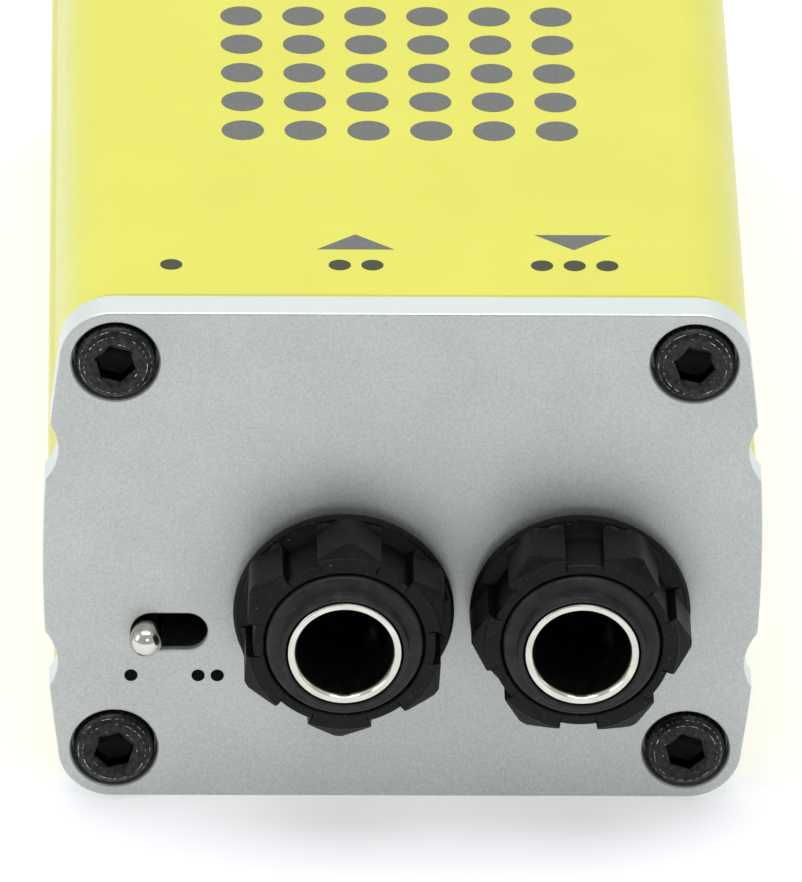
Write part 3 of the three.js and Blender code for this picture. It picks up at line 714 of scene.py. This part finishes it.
# The jack nuts are moulded in the same nylon: a dished round flange that stands on a narrower
# foot, under a hexagon with a coned front and a spanner notch in the middle of every flat.
nut_high = face_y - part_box("input_jack_nut")[0].y
nut_half_across = 6.58 * mm
nut_corner = nut_half_across / math.cos(math.pi / 6)
notch_half = 1.3 * mm
collar_r = 6.15 * mm


def nut_outline(turn):
    """(angle, radius) around the hexagon and its notches, from corner to corner."""
    points = []
    for flat in range(6):
        middle = turn + math.pi / 6 + flat * math.pi / 3
        along = [-nut_corner / 2 * (1 - k / 7) - notch_half * k / 7 for k in range(8)]
        inner = [-notch_half * (1 - k / 4) for k in range(8 + 1)]
        path = [(t, nut_half_across) for t in along]
        path += [(t, math.sqrt(collar_r ** 2 - t ** 2)) for t in inner]
        path += [(-t, nut_half_across) for t in reversed(along)][:-1]
        points += [(middle + math.atan2(t, depth), math.hypot(t, depth)) for t, depth in path]
    return points


def nut_mesh(x, turn):
    outline = nut_outline(turn)
    angles = []
    for a, _ in outline:
        angles.append(max(a, angles[-1] + 1e-4) if angles else a)

    def circle(r):
        return [(a, r) for a in angles]

    def trimmed(limit, inset=0.0):
        return [(a, min(r - inset, limit)) for a, r in outline]

    rounded = 7.44 * mm
    cone_deep, soft = 0.55 * mm, 0.07 * mm
    slope = (rounded - nut_half_across) / cone_deep
    rings = [(circle(5.38 * mm), 0.04 * mm), (circle(6.6 * mm), 0.03 * mm), (circle(6.72 * mm), 0.1 * mm),
             (circle(7.35 * mm), 0.76 * mm), (circle(7.45 * mm), 0.85 * mm), (circle(7.475 * mm), 0.93 * mm),
             (circle(7.475 * mm), 1.08 * mm), (circle(7.44 * mm), 1.17 * mm), (circle(7.25 * mm), 1.31 * mm),
             (circle(7.12 * mm), 1.31 * mm), (trimmed(rounded, -0.14 * mm), 1.5 * mm),
             (trimmed(rounded, -0.04 * mm), 1.57 * mm), (trimmed(rounded), 1.68 * mm)]
    for k in range(10):
        out = nut_high - cone_deep * (1 - k / 9) - soft
        rings.append((trimmed(nut_half_across + slope * (nut_high - soft - out)), out))
    rings += [(trimmed(nut_half_across - 0.03 * mm, 0.03 * mm), nut_high - 0.02 * mm),
              (trimmed(nut_half_across - 0.12 * mm, 0.08 * mm), nut_high),
              (circle(5.52 * mm), nut_high), (circle(5.44 * mm), nut_high - 0.06 * mm),
              (circle(5.38 * mm), nut_high - 0.2 * mm)]
    mesh = spun(rings, x, face_y, jack_z, ring_shut=True)
    # The notch floors are marked to be painted black, as painted shade.
    shaded = mesh.attributes.new("painted_notch_shade", "FLOAT", "POINT")
    for v, value in zip(mesh.vertices, shaded.data):
        r, out = math.hypot(v.co.x - x, v.co.z - jack_z), face_y - v.co.y
        on_notch_floor = 6 * mm < r < collar_r + 0.2 * mm and 1.45 * mm < out < nut_high - 0.2 * mm
        value.value = 0.85 if on_notch_floor else 0
    return mesh


for jack, degrees in (("input", 2.4), ("tuner", 31.0)):
    nut = finish_object(
        f"{jack}_flanged_nut", nut_mesh(jack_places[jack], math.radians(degrees)), black_nylon, 28)
    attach(nut, "box")
    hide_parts(f"{jack}_jack_nut")


# Each toggle's lever is turned brass, bright plated, with a domed tip that is a little wider
# than its stem, and a ball on which it pivots well behind the plate.
def lever_mesh(pivot, facing, tilt):
    stem, dome, ball, length = 0.95 * mm, 1.1 * mm, 1.6 * mm, 12 * mm
    rings = [(0, -1.9 * mm), (0.7 * mm, -1.9 * mm), (0.8 * mm, -1.8 * mm)]
    first, last = math.asin(0.5), math.pi - math.asin(stem / ball)
    for k in range(25):
        a = first + (last - first) * k / 24
        rings.append((ball * math.sin(a), -ball * math.cos(a)))
    neck = length - 2.4 * mm
    rings += [(stem, neck), (stem + 0.03 * mm, neck + 0.12 * mm), (dome - 0.03 * mm, neck + 0.28 * mm),
              (dome, neck + 0.4 * mm)]
    for k in range(20):
        a = k / 20 * math.pi / 2
        rings.append((dome * math.cos(a), length - dome + dome * math.sin(a)))
    rings.append((0, length))
    count = 64
    mesh = spun([([r] * count if r else 0, out) for r, out in rings], facing=facing)
    mesh.transform(Matrix.Translation(pivot) @ Matrix.Rotation(tilt, 4, "Z"))
    return mesh


toggle_tilt = math.radians(8.5)
pivots = {joint["child"]: Vector(joint["pos_m"]) for joint in frame["joints"]}
for name, body, facing in (("pad_lever", "pad_toggle", -1), ("ground_lever", "ground_toggle", 1)):
    lever = finish_object(f"{name}_turned", lever_mesh(pivots[body], facing, -toggle_tilt), nickel, 50)
    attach(lever, body)
    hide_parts(name)


# The marks are screen printed: grey over the yellow, black on the plates. Rows of one, two and
# three plain dots tell the toggle and the two sockets apart, arrows show which socket takes the
# signal in, and one dot or two stand under each end of a toggle's slot.
def ink(name, colour):
    made, shader, here = new_finish(name)
    tone = here.noise(0.3 * mm, 2).between(0.3, 0.7)
    darker = tuple(0.86 * c for c in colour[:3]) + (1,)
    feed(shader, Base_Color=tone.blend(darker, colour), Roughness=0.5 + 0.1 * here.noise(0.5 * mm),
         Normal=here.noise(0.15 * mm).bump(0.1, 0.01 * mm), Specular_IOR_Level=0.05)
    return made


grey_ink = ink("grey_ink", shade(0.31, 0.32, 0.27))
pale_grey_ink = ink("pale_grey_ink", shade(0.455, 0.465, 0.45))
black_ink = ink("black_ink", shade(0.03, 0.03, 0.03))
print_thick = 0.02 * mm


def flat_mesh(outline):
    """A thin slab in X and Y from an outline, which goes anticlockwise."""
    mesh = extrusion([(outline, [(0, -print_thick / 2), (0, print_thick / 2)])])
    mesh.transform(Matrix.Rotation(-math.pi / 2, 4, "X"))
    return mesh


def dot_mesh(r, x=0.0):
    return flat_mesh(arc(x, 0, r, 0, 360, 40)[:-1])


def dots_mesh(count, r, pitch):
    """A row of dots along X with its middle at the origin."""
    return join_meshes(*[dot_mesh(r, (k - (count - 1) / 2) * pitch) for k in range(count)])


def printed(name, mesh, middle, across, up, finish):
    """Lays a flat mesh made in X and Y on a face, with its origin at a middle."""
    out = Vector(across).cross(Vector(up))
    turn = Matrix((across, up, out)).transposed().to_4x4()
    mesh.transform(Matrix.Translation(Vector(middle) + out * print_thick / 2) @ turn)
    mark = finish_object(name, mesh, finish)
    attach(mark, "box")


right_axis, left_axis, back_axis, up_axis = (1, 0, 0), (-1, 0, 0), (0, 1, 0), (0, 0, 1)
top_z = sleeve_high.z
top_row_y, arrow_y = face_y + 7 * mm, face_y + 9.27 * mm
top_dot_r, top_dot_pitch = 0.75 * mm, 2.2 * mm
arrow_x = {"input": -3.25 * mm, "tuner": 11.48 * mm}
for count, (name, x) in enumerate((("pad", toggle_x), *arrow_x.items()), 1):
    printed(f"{name}_dots", dots_mesh(count, top_dot_r, top_dot_pitch), (x, top_row_y, top_z),
            right_axis, back_axis, grey_ink)

arrow_half, arrow_long = 2.6 * mm, 2.15 * mm
points_in = [Vector((-arrow_half, 0)), Vector((arrow_half, 0)), Vector((0, arrow_long))]
points_out = [Vector((-arrow_half, arrow_long)), Vector((0, 0)), Vector((arrow_half, arrow_long))]
for name, outline in (("input", points_in), ("tuner", points_out)):
    printed(f"{name}_arrow", flat_mesh(outline), (arrow_x[name], arrow_y, top_z),
            right_axis, back_axis, pale_grey_ink)

slot_row_z = middle_z - 9.2 * mm
slot_dot_r, slot_dot_pitch = 0.45 * mm, 1.3 * mm
for name, y, side, across in (("pad", face_y, 1, right_axis), ("ground", rear_high.y, -1, left_axis)):
    for place, count, end in (("first", 1, -1), ("second", 2, 1)):
        printed(f"{name}_{place}_place", dots_mesh(count, slot_dot_r, slot_dot_pitch),
                (toggle_x + side * end * slot_half, y, slot_row_z), across, up_axis, black_ink)

# The large mark on the top is a plain field of round dots, in rows and columns. A node tree stands
# one printed dot at each place of a grid.
field_tree, given = node_tree("dot_field", {
    "Columns": "Int", "Rows": "Int", "Width": "Float", "Length": "Float", "Centre": "Vector"})
shape = given["Geometry"]
grid = shape.node("GeometryNodeMeshGrid", None, {
    "Size X": given["Width"], "Size Y": given["Length"],
    "Vertices X": given["Columns"], "Vertices Y": given["Rows"]})
stood = shape.node("GeometryNodeInstanceOnPoints", None, {"Points": grid, "Instance": shape})
moved = shape.node("GeometryNodeTransform", None, {"Geometry": stood, "Translation": given["Centre"]})
close_tree(field_tree, moved, pale_grey_ink)
field_columns, field_rows, field_pitch, field_dot_r = 6, 10, 4.3 * mm, 1.45 * mm
dot_field = grow("dot_field_mark", dot_mesh(field_dot_r), field_tree, {
    "Columns": field_columns, "Rows": field_rows,
    "Width": (field_columns - 1) * field_pitch, "Length": (field_rows - 1) * field_pitch,
    "Centre": (0, -4 * mm, top_z + print_thick / 2)})
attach(dot_field, "box")


# The balanced output is a chassis plug: a die-cast shell with a square flange, plated satin
# nickel, countersunk at two corners. A nylon insert at the bottom of its bore holds three pins.
satin_nickel, shader, here = new_finish("satin_nickel")
cast = here.noise(0.2 * mm, 3)
feed(
    shader,
    Base_Color=here.noise(4 * mm, 3).between(0.3, 0.7).blend(
        shade(0.68, 0.68, 0.66), shade(0.76, 0.76, 0.74)),
    Metallic=1.0,
    Roughness=0.27 + 0.14 * cast,
    Normal=cast.bump(0.12, 0.02 * mm),
)
shell_r, shell_bore = 11 * mm, 8.15 * mm
flange_back = rear_high.y
sunk_head = 2.85 * mm


def rounded_loop(half_x, half_z, r, x=0.0, z=0.0, steps=10):
    """A rectangle with round corners, anticlockwise."""
    turns = ((1, 1, 0), (-1, 1, 90), (-1, -1, 180), (1, -1, 270))
    return [p for sx, sz, start in turns
            for p in arc(x + sx * (half_x - r), z + sz * (half_z - r), r, start, start + 90, steps)]


soft = 0.3 * mm
flange_edge = [(0.1 * mm, flange_back), (0, flange_back + 0.1 * mm), (0, shell_high.y - soft),
               (0.09 * mm, shell_high.y - 0.09 * mm), (soft, shell_high.y)]
flange_loops = [(rounded_loop((shell_high.x - shell_low.x) / 2, (shell_high.z - shell_low.z) / 2, 3 * mm,
                              xlr_x, middle_z), flange_edge),
                (round_hole(xlr_x, middle_z, shell_bore, 96),
                 [(0, flange_back), (0, shell_high.y - 0.6 * mm), (0.15 * mm, shell_high.y - 0.25 * mm),
                  (0.5 * mm, shell_high.y)])]
sink = sunk_head + 0.3 * mm - 1.75 * mm
for x, z in xlr_screws:
    flange_loops.append((round_hole(x, z, 1.75 * mm), [
        (0, flange_back), (0, flange_back + 0.3 * mm), (sink, shell_high.y - 0.15 * mm),
        (sink, shell_high.y)]))
shell_tube = spun([
    (shell_r, shell_low.y + 0.3 * mm), (shell_r, flange_back), (shell_bore, flange_back),
    (shell_bore, shell_low.y + 0.2 * mm), (shell_bore + 0.2 * mm, shell_low.y),
    (shell_r - 0.3 * mm, shell_low.y), ([shell_r - 0.08 * mm] * 96, shell_low.y + 0.08 * mm)],
    xlr_x, 0, middle_z, facing=1, ring_shut=True)
plug_shell = finish_object("plug_shell", join_meshes(extrusion(flange_loops), shell_tube), satin_nickel, 30)
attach(plug_shell, "box")
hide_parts("xlr_shell")

insert_low, insert_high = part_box("xlr_insert")
insert_r = (insert_high.x - insert_low.x) / 2
pin_boxes = [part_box(f"xlr_pin_{k}") for k in (1, 2, 3)]
pin_places = [((low.x + high.x) / 2, (low.z + high.z) / 2) for low, high in pin_boxes]
insert_loops = [(round_hole(xlr_x, middle_z, insert_r, 72)[::-1],
                 [(0, insert_low.y), (0, insert_high.y - 0.4 * mm), (0.4 * mm, insert_high.y)])]
for x, z in pin_places:
    insert_loops.append((round_hole(x, z, 1.5 * mm, 32),
                         [(0, insert_low.y), (0, insert_high.y - 0.25 * mm), (0.25 * mm, insert_high.y)]))
plug_insert = finish_object("plug_insert", extrusion(insert_loops), black_nylon, 25)
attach(plug_insert, "box")
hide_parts("xlr_insert")

silver_plate, shader, here = new_finish("silver_plate")
feed(
    shader,
    Base_Color=here.noise(1.2 * mm, 3).between(0.35, 0.7).blend(
        shade(0.84, 0.83, 0.79), shade(0.93, 0.92, 0.89)),
    Metallic=1.0,
    Roughness=0.18 + 0.16 * here.noise(0.3 * mm, 3),
    Normal=here.noise(0.2 * mm, 2).bump(0.06, 0.01 * mm),
)
# A pin is turned with a solder cup at its back and a rounded tip.
pin_low, pin_high = pin_boxes[0]
tail, tip = pin_low.y, pin_high.y
pin_rings = [(0, tail + 1.6 * mm), (0.75 * mm, tail + 1.5 * mm), (0.75 * mm, tail), (1.1 * mm, tail),
             (1.2 * mm, tail + 0.1 * mm), (1.2 * mm, tip - 1.0 * mm), ([1.14 * mm] * 40, tip - 0.6 * mm),
             (1.0 * mm, tip - 0.3 * mm), (0.75 * mm, tip - 0.08 * mm), (0.5 * mm, tip), (0, tip)]
pins = finish_object("plug_pins", join_meshes(*[
    spun(pin_rings, x, 0, z, facing=1) for x, z in pin_places]), silver_plate, 30)
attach(pins, "box")
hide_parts("xlr_pin_1", "xlr_pin_2", "xlr_pin_3")

# Two countersunk M3 screws in black oxide go through the flange and the plate into steel nuts.
screw_low, screw_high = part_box("xlr_screw_1")
count = 72
key = [hexagon_radius(2 * math.pi * k / count, 1.0 * mm) for k in range(count)]
sunk_rings = [(0, screw_low.y), (1.2 * mm, screw_low.y), (1.45 * mm, screw_low.y + 0.3 * mm),
              (1.45 * mm, flange_back + 0.5 * mm), (sunk_head - 0.12 * mm, screw_high.y - 0.14 * mm),
              (sunk_head, screw_high.y - 0.06 * mm), (sunk_head - 0.08 * mm, screw_high.y),
              ([r + 0.12 * mm for r in key], screw_high.y), (key, screw_high.y - 0.12 * mm),
              (key, screw_high.y - 1.1 * mm), (0, screw_high.y - 1.5 * mm)]
sunk_screws = finish_object("plug_flange_screws", join_meshes(*[
    spun(sunk_rings, x, 0, z, facing=1) for x, z in xlr_screws]), black_oxide, 30)
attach(sunk_screws, "box")
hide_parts("xlr_screw_1", "xlr_screw_2")

zinc_plate, shader, here = new_finish("zinc_plate")
bloom = here.noise(1.1 * mm, 4)
feed(
    shader,
    Base_Color=bloom.between(0.3, 0.75).blend(shade(0.6, 0.61, 0.62), shade(0.74, 0.75, 0.755)),
    Metallic=0.95,
    Roughness=0.28 + 0.22 * bloom,
    Normal=here.noise(0.18 * mm, 2).bump(0.1, 0.01 * mm),
)
nut_low, nut_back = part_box("xlr_nut_1")
flats = [hexagon_radius(2 * math.pi * k / count, 2.72 * mm) for k in range(count)]
crowned = [min(r, 2.85 * mm) for r in flats]
clip = 0.18 * mm
m3_rings = [(1.5 * mm, nut_low.y), (crowned, nut_low.y), (flats, nut_low.y + clip),
            (flats, nut_back.y - clip), (crowned, nut_back.y), (1.5 * mm, nut_back.y)]
m3_nuts = finish_object("plug_flange_nuts", join_meshes(*[
    spun(m3_rings, x, 0, z, facing=1, ring_shut=True) for x, z in xlr_screws]), zinc_plate, 30)
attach(m3_nuts, "box")
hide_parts("xlr_nut_1", "xlr_nut_2")


# Behind each plate a toggle switch sits in a folded steel frame, blackened, whose nose fills the
# plate's pocket. The frames, the switches and the jacks' sprung contacts keep their own shapes.
def dress(finish, *nodes):
    """Gives a finish to pieces that are used as they are."""
    for node in nodes:
        slots = frame["nodes"][node].data.materials
        slots.clear()
        slots.append(finish)


blackened, shader, here = new_finish("blackened_steel")
scale = here.noise(0.5 * mm, 4)
feed(
    shader,
    Base_Color=scale.between(0.3, 0.75).blend(shade(0.22, 0.22, 0.22), shade(0.34, 0.34, 0.345)),
    Metallic=0.6,
    Roughness=0.32 + 0.2 * scale,
    Normal=scale.bump(0.15, 0.01 * mm),
)
dress(blackened, "pad_switch_frame", "ground_switch_frame")
dress(black_nylon, "pad_switch_body", "ground_switch_body", "transformer_bobbin")
dress(silver_plate, *[f"{jack}_{part}_spring" for jack in jack_places for part in ("tip", "ring")])
dress(zinc_plate, "transformer_strap")


# The circuit board is 1.6 mm glass laminate with a green solder mask over its copper tracks. It
# slides in under the sleeve's two ribs.
board_low, board_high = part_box("circuit_board")
solder_mask, shader, here = new_finish("solder_mask")
board_x, board_y, board_z = (
    here.node("ShaderNodeSeparateXYZ", None, {0: here}, axis) for axis in range(3))
track_pitch = 1.9 * mm
wander = 3 * mm * here.noise(9 * mm, 0)
lane = here.maths("FRACT", (board_x + wander) * (1 / track_pitch))
cross = here.maths("FRACT", (board_y + wander) * (1 / (4 * track_pitch)))
track = here.maths("MAXIMUM", lane.between(0.34, 0.3), cross.between(0.1, 0.08))
pad = here.cells(5 * mm, 0.8).between(0.16, 0.14)
green = track.blend(shade(0.07, 0.3, 0.17), shade(0.12, 0.4, 0.23))
skin_deep = 0.06 * mm
cut_edge = here.maths(
    "MINIMUM", (board_z - (board_low.z + skin_deep)).between(0, 0.01 * mm),
    (board_z - (board_high.z - skin_deep)).between(0, -0.01 * mm))
feed(
    shader,
    Base_Color=cut_edge.blend(pad.blend(green, shade(0.75, 0.74, 0.7)), shade(0.62, 0.6, 0.36)),
    Roughness=0.3 + 0.2 * here.noise(2 * mm),
    Normal=here.maths("MAXIMUM", track, pad).bump(0.3, 0.03 * mm),
    Coat_Weight=0.3,
)
dress(solder_mask, "circuit_board")


# The transformer is a stack of varnished steel laminations through a taped winding, on a nylon
# bobbin under a plated strap. A node tree stacks the laminations.
varnished_steel, shader, here = new_finish("varnished_steel")
varnish = here.noise(1.4 * mm, 4)
feed(
    shader,
    Base_Color=varnish.between(0.3, 0.75).blend(shade(0.27, 0.25, 0.24), shade(0.42, 0.4, 0.39)),
    Metallic=0.8,
    Roughness=0.3 + 0.25 * varnish,
    Normal=varnish.bump(0.1, 0.01 * mm),
)
core_low, core_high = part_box("transformer_core")
core_x, core_z = (core_low.x + core_high.x) / 2, (core_low.z + core_high.z) / 2
limb, window = 3.5 * mm, 5 * mm
lamination_count = 18
stack = core_high.y - core_low.y
lamination_pitch = stack / lamination_count
lamination_thick = 0.94 * lamination_pitch
through = [(0, -lamination_thick / 2), (0, lamination_thick / 2)]
lamination_loops = [(rounded_loop((core_high.x - core_low.x) / 2, (core_high.z - core_low.z) / 2, 0.3 * mm,
                                  core_x, core_z, 2), through)]
for side in (-1, 1):
    x = core_x + side * (limb + window / 2)
    lamination_loops.append((rounded_loop(window / 2, (core_high.z - core_low.z) / 2 - limb, 0.2 * mm,
                                          x, core_z, 2)[::-1], through))
core_tree, given = node_tree("lamination_stack", {"Sheets": "Int", "Pitch": "Float", "First": "Vector"})
shape = given["Geometry"]
step = shape.node("ShaderNodeCombineXYZ", None, {"Y": given["Pitch"]})
row = shape.node("GeometryNodeMeshLine", None, {
    "Count": given["Sheets"], "Start Location": given["First"], "Offset": step})
stacked = shape.node("GeometryNodeInstanceOnPoints", None, {"Points": row, "Instance": shape})
close_tree(core_tree, stacked, varnished_steel)
core = grow("transformer_laminations", extrusion(lamination_loops), core_tree, {
    "Sheets": lamination_count, "Pitch": lamination_pitch,
    "First": (0, core_low.y + lamination_pitch / 2, 0)}, 30)
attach(core, "box")
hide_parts("transformer_core")

yellow_tape, shader, here = new_finish("yellow_tape")
level_here = here.node("ShaderNodeSeparateXYZ", None, {0: here}, 2)
lap = here.maths("FRACT", (level_here + 0.4 * mm * here.noise(4 * mm)) * (1 / (2.6 * mm)))
feed(
    shader,
    Base_Color=lap.between(0.0, 0.12).blend(shade(0.62, 0.5, 0.2), shade(0.83, 0.71, 0.33)),
    Roughness=0.28 + 0.15 * here.noise(1 * mm),
    Normal=lap.bump(0.3, 0.05 * mm),
    Coat_Weight=0.4,
)


def plan_slab(loops):
    """A slab between heights, from loops in X and Y with profiles of (how far in, height)."""
    mesh = extrusion([
        (points, [(depth, -z) for depth, z in reversed(profile)]) for points, profile in loops])
    mesh.transform(Matrix.Rotation(-math.pi / 2, 4, "X"))
    return mesh


wound_low, wound_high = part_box("transformer_winding")
wound_x, wound_y = (wound_low.x + wound_high.x) / 2, (wound_low.y + wound_high.y) / 2
swell = 0.5 * mm
wound_loops = [
    (rounded_loop((wound_high.x - wound_low.x) / 2, (wound_high.y - wound_low.y) / 2, 2.6 * mm,
                  wound_x, wound_y, 8),
     [(swell, wound_low.z), (0, wound_low.z + 1.2 * mm), (0, wound_high.z - 1.2 * mm),
      (swell, wound_high.z)]),
    (rounded_loop(4.9 * mm, 5.9 * mm, 0.5 * mm, wound_x, wound_y, 3)[::-1],
     [(0, wound_low.z), (0, wound_high.z)])]
wound = finish_object("transformer_taped_winding", plan_slab(wound_loops), yellow_tape)
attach(wound, "box")
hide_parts("transformer_winding")


# Two round cans in shrunk sleeves and three film blocks dipped in resin stand along the board's
# left side. A can is crimped near its foot and its sleeve leaves the top bare.
shrink_sleeve, shader, here = new_finish("shrink_sleeve")
can_low, can_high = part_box("can_capacitor_1")
top_here = here.node("ShaderNodeSeparateXYZ", None, {0: here}, 2)
radius_here = here.node("ShaderNodeSeparateXYZ", None, {0: here})
bare_top = (top_here - (can_high.z - 0.12 * mm)).between(0, 0.02 * mm)
stripe = (radius_here - (can_low.x + 1 * mm)).between(0.05 * mm, 0)
feed(
    shader,
    Base_Color=bare_top.blend(stripe.blend(shade(0.07, 0.08, 0.13), shade(0.68, 0.7, 0.74)),
                              shade(0.78, 0.78, 0.79)),
    Metallic=0.9 * bare_top,
    Roughness=0.28 + 0.14 * here.noise(0.8 * mm),
    Normal=here.noise(0.6 * mm, 2).bump(0.08, 0.02 * mm),
)
for k in (1, 2):
    low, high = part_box(f"can_capacitor_{k}")
    tall, r = high.z - low.z, (high.x - low.x) / 2
    profile = [(0, 0), (0.86 * r, 0), (0.96 * r, 0.15 * mm), (r, 0.4 * mm), (r, 0.9 * mm),
               (0.94 * r, 1.25 * mm), (0.9 * r, 1.5 * mm), (0.94 * r, 1.75 * mm), (r, 2.1 * mm),
               (r, tall - 0.35 * mm),
               (0.97 * r, tall - 0.1 * mm), (0.9 * r, tall), (0.82 * r, tall - 0.02 * mm),
               (0.78 * r, tall - 0.1 * mm), (0, tall - 0.1 * mm)]
    count = 48
    mesh = spun([([a] * count if a else 0, out) for a, out in profile], facing=1)
    mesh.transform(Matrix.Translation(((low.x + high.x) / 2, (low.y + high.y) / 2, low.z))
                   @ Matrix.Rotation(math.pi / 2, 4, "X"))
    can = finish_object(f"round_capacitor_{k}", mesh, shrink_sleeve)
    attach(can, "box")
    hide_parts(f"can_capacitor_{k}")

red_resin, shader, here = new_finish("red_resin")
feed(
    shader,
    Base_Color=here.noise(3 * mm, 3).between(0.3, 0.7).blend(
        shade(0.5, 0.13, 0.09), shade(0.62, 0.17, 0.11)),
    Roughness=0.22 + 0.15 * here.noise(0.7 * mm),
    Normal=here.noise(1.5 * mm, 2).bump(0.2, 0.05 * mm),
    Coat_Weight=0.5,
)
for k in (1, 2, 3):
    low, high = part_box(f"film_capacitor_{k}")
    round_by = 0.7 * mm
    x, y = (low.x + high.x) / 2, (low.y + high.y) / 2
    curve = [(round_by * (1 - math.sin(a)), round_by * (1 - math.cos(a)))
             for a in (math.pi / 2 * j / 5 for j in range(6))]
    profile = [(depth, low.z + rise) for depth, rise in curve]
    profile += [(depth, high.z - rise) for depth, rise in reversed(curve)]
    block = plan_slab([(rounded_loop((high.x - low.x) / 2, (high.y - low.y) / 2, 1 * mm, x, y, 8), profile)])
    film = finish_object(f"film_block_{k}", block, red_resin)
    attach(film, "box")
    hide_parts(f"film_capacitor_{k}")


# Metal film resistors: a waisted, lacquered body with colour bands, on tinned leads that bend
# down to the board. A node tree runs every lead and wire along its route.
banded_lacquer, shader, here = new_finish("banded_lacquer")
band = here.node("ShaderNodeAttribute", {"attribute_name": "band"}, output=2)
lacquer = shade(0.42, 0.62, 0.75)
for value, colour in ((1, shade(0.3, 0.15, 0.07)), (2, shade(0.05, 0.05, 0.05)),
                      (3, shade(0.72, 0.1, 0.07))):
    near_band = here.maths("LESS_THAN", here.maths("ABSOLUTE", band - value), 0.4)
    lacquer = near_band.blend(lacquer, colour)
feed(
    shader,
    Base_Color=lacquer,
    Roughness=0.24 + 0.12 * here.noise(0.5 * mm),
    Normal=here.noise(0.4 * mm).bump(0.1, 0.01 * mm),
    Coat_Weight=0.4,
)
resistor_boxes = [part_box(f"resistor_{k}") for k in range(1, 7)]
bands = {-1.9: 1, -1.1: 2, -0.3: 2, 0.5: 3, 1.9: 1}
bodies = []
routes = []
lead_r = 0.3 * mm
for low, high in resistor_boxes:
    x, y, z = (low.x + high.x) / 2, (low.y + high.y) / 2, high.z - 1.15 * mm
    profile = [(0, -3.1 * mm), (0.7 * mm, -3.08 * mm), (1.02 * mm, -2.9 * mm), (1.15 * mm, -2.5 * mm),
               (1.15 * mm, -1.9 * mm)]
    steps = 60
    waist = [(-1.5 + 3 * k / steps) * mm for k in range(steps + 1)]
    profile += [(0.97 * mm + 0.12 * mm * (d / (1.5 * mm)) ** 4, d) for d in waist]
    profile += [(r, -d) for r, d in reversed(profile[:5])]
    count = 24
    mesh = spun([([r] * count if r else 0, d) for r, d in profile], facing=1)
    marks = mesh.attributes.new("band", "FLOAT", "POINT")
    for v, value in zip(mesh.vertices, marks.data):
        value.value = next((mark for at, mark in bands.items() if abs(v.co.y - at * mm) < 0.24 * mm), 0)
    mesh.transform(Matrix.Translation((x, y, z)) @ Matrix.Rotation(-math.pi / 2, 4, "Z"))
    bodies.append(mesh)
    reach = (high.x - low.x) / 2 - lead_r
    routes.append([(x - reach, y, low.z), (x - reach, y, z), (x + reach, y, z), (x + reach, y, low.z)])
lacquered = finish_object("resistor_bodies", join_meshes(*bodies), banded_lacquer)
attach(lacquered, "box")
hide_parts(*[f"resistor_{k}" for k in range(1, 7)])


def wire_tree(name, finish):
    tree, given = node_tree(name, {"Radius": "Float", "Bend": "Float"})
    path = given["Geometry"].node("GeometryNodeMeshToCurve", None, {"Mesh": given["Geometry"]})
    bent = path.node("GeometryNodeFilletCurve", {"mode": "POLY"}, {
        "Curve": path, "Radius": given["Bend"], "Limit Radius": True, "Count": 6})
    round_bar = path.node("GeometryNodeCurvePrimitiveCircle", None, {
        "Resolution": 12, "Radius": given["Radius"]})
    tube = path.node("GeometryNodeCurveToMesh", None, {
        "Curve": bent, "Profile Curve": round_bar, "Fill Caps": True})
    close_tree(tree, tube, finish)
    return tree


def route_mesh(routes):
    """Open runs of edges through each route's points."""
    points = [p for route in routes for p in route]
    edges = []
    for route in routes:
        start = edges[-1][1] + 1 if edges else 0
        edges += [(start + k, start + k + 1) for k in range(len(route) - 1)]
    mesh = bpy.data.meshes.new("routes")
    mesh.from_pydata(points, edges, [])
    return mesh


leads = grow("resistor_leads", route_mesh(routes), wire_tree("tinned_leads", silver_plate), {
    "Radius": lead_r, "Bend": 0.7 * mm})
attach(leads, "box")

# Three insulated wires rise from the board and run back to the plug's solder cups.
for k, (name, colour) in enumerate((("black", shade(0.05, 0.05, 0.05)), ("red", shade(0.68, 0.1, 0.08)),
                                    ("white", shade(0.87, 0.87, 0.85))), 1):
    sheath, shader, here = new_finish(f"{name}_sheath")
    paler = tuple(min(1, 1.15 * c + 0.01) for c in colour[:3]) + (1,)
    feed(
        shader,
        Base_Color=here.noise(1.2 * mm, 2).between(0.3, 0.7).blend(colour, paler),
        Roughness=0.35 + 0.15 * here.noise(0.6 * mm),
        Normal=here.noise(0.3 * mm).bump(0.1, 0.01 * mm),
    )
    low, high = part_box(f"xlr_wire_{k}")
    x, z = pin_places[k - 1]
    route = [(x, 22 * mm, low.z), (x, 22 * mm, low.z + 2 * mm), (x, 23.5 * mm, z - 2.5 * mm),
             (x, 26 * mm, z), (x, high.y, z)]
    wire = grow(f"plug_wire_{name}", route_mesh([route]), wire_tree(f"{name}_wire", sheath), {
        "Radius": 0.6 * mm, "Bend": 1.5 * mm})
    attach(wire, "box")
    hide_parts(f"xlr_wire_{k}")
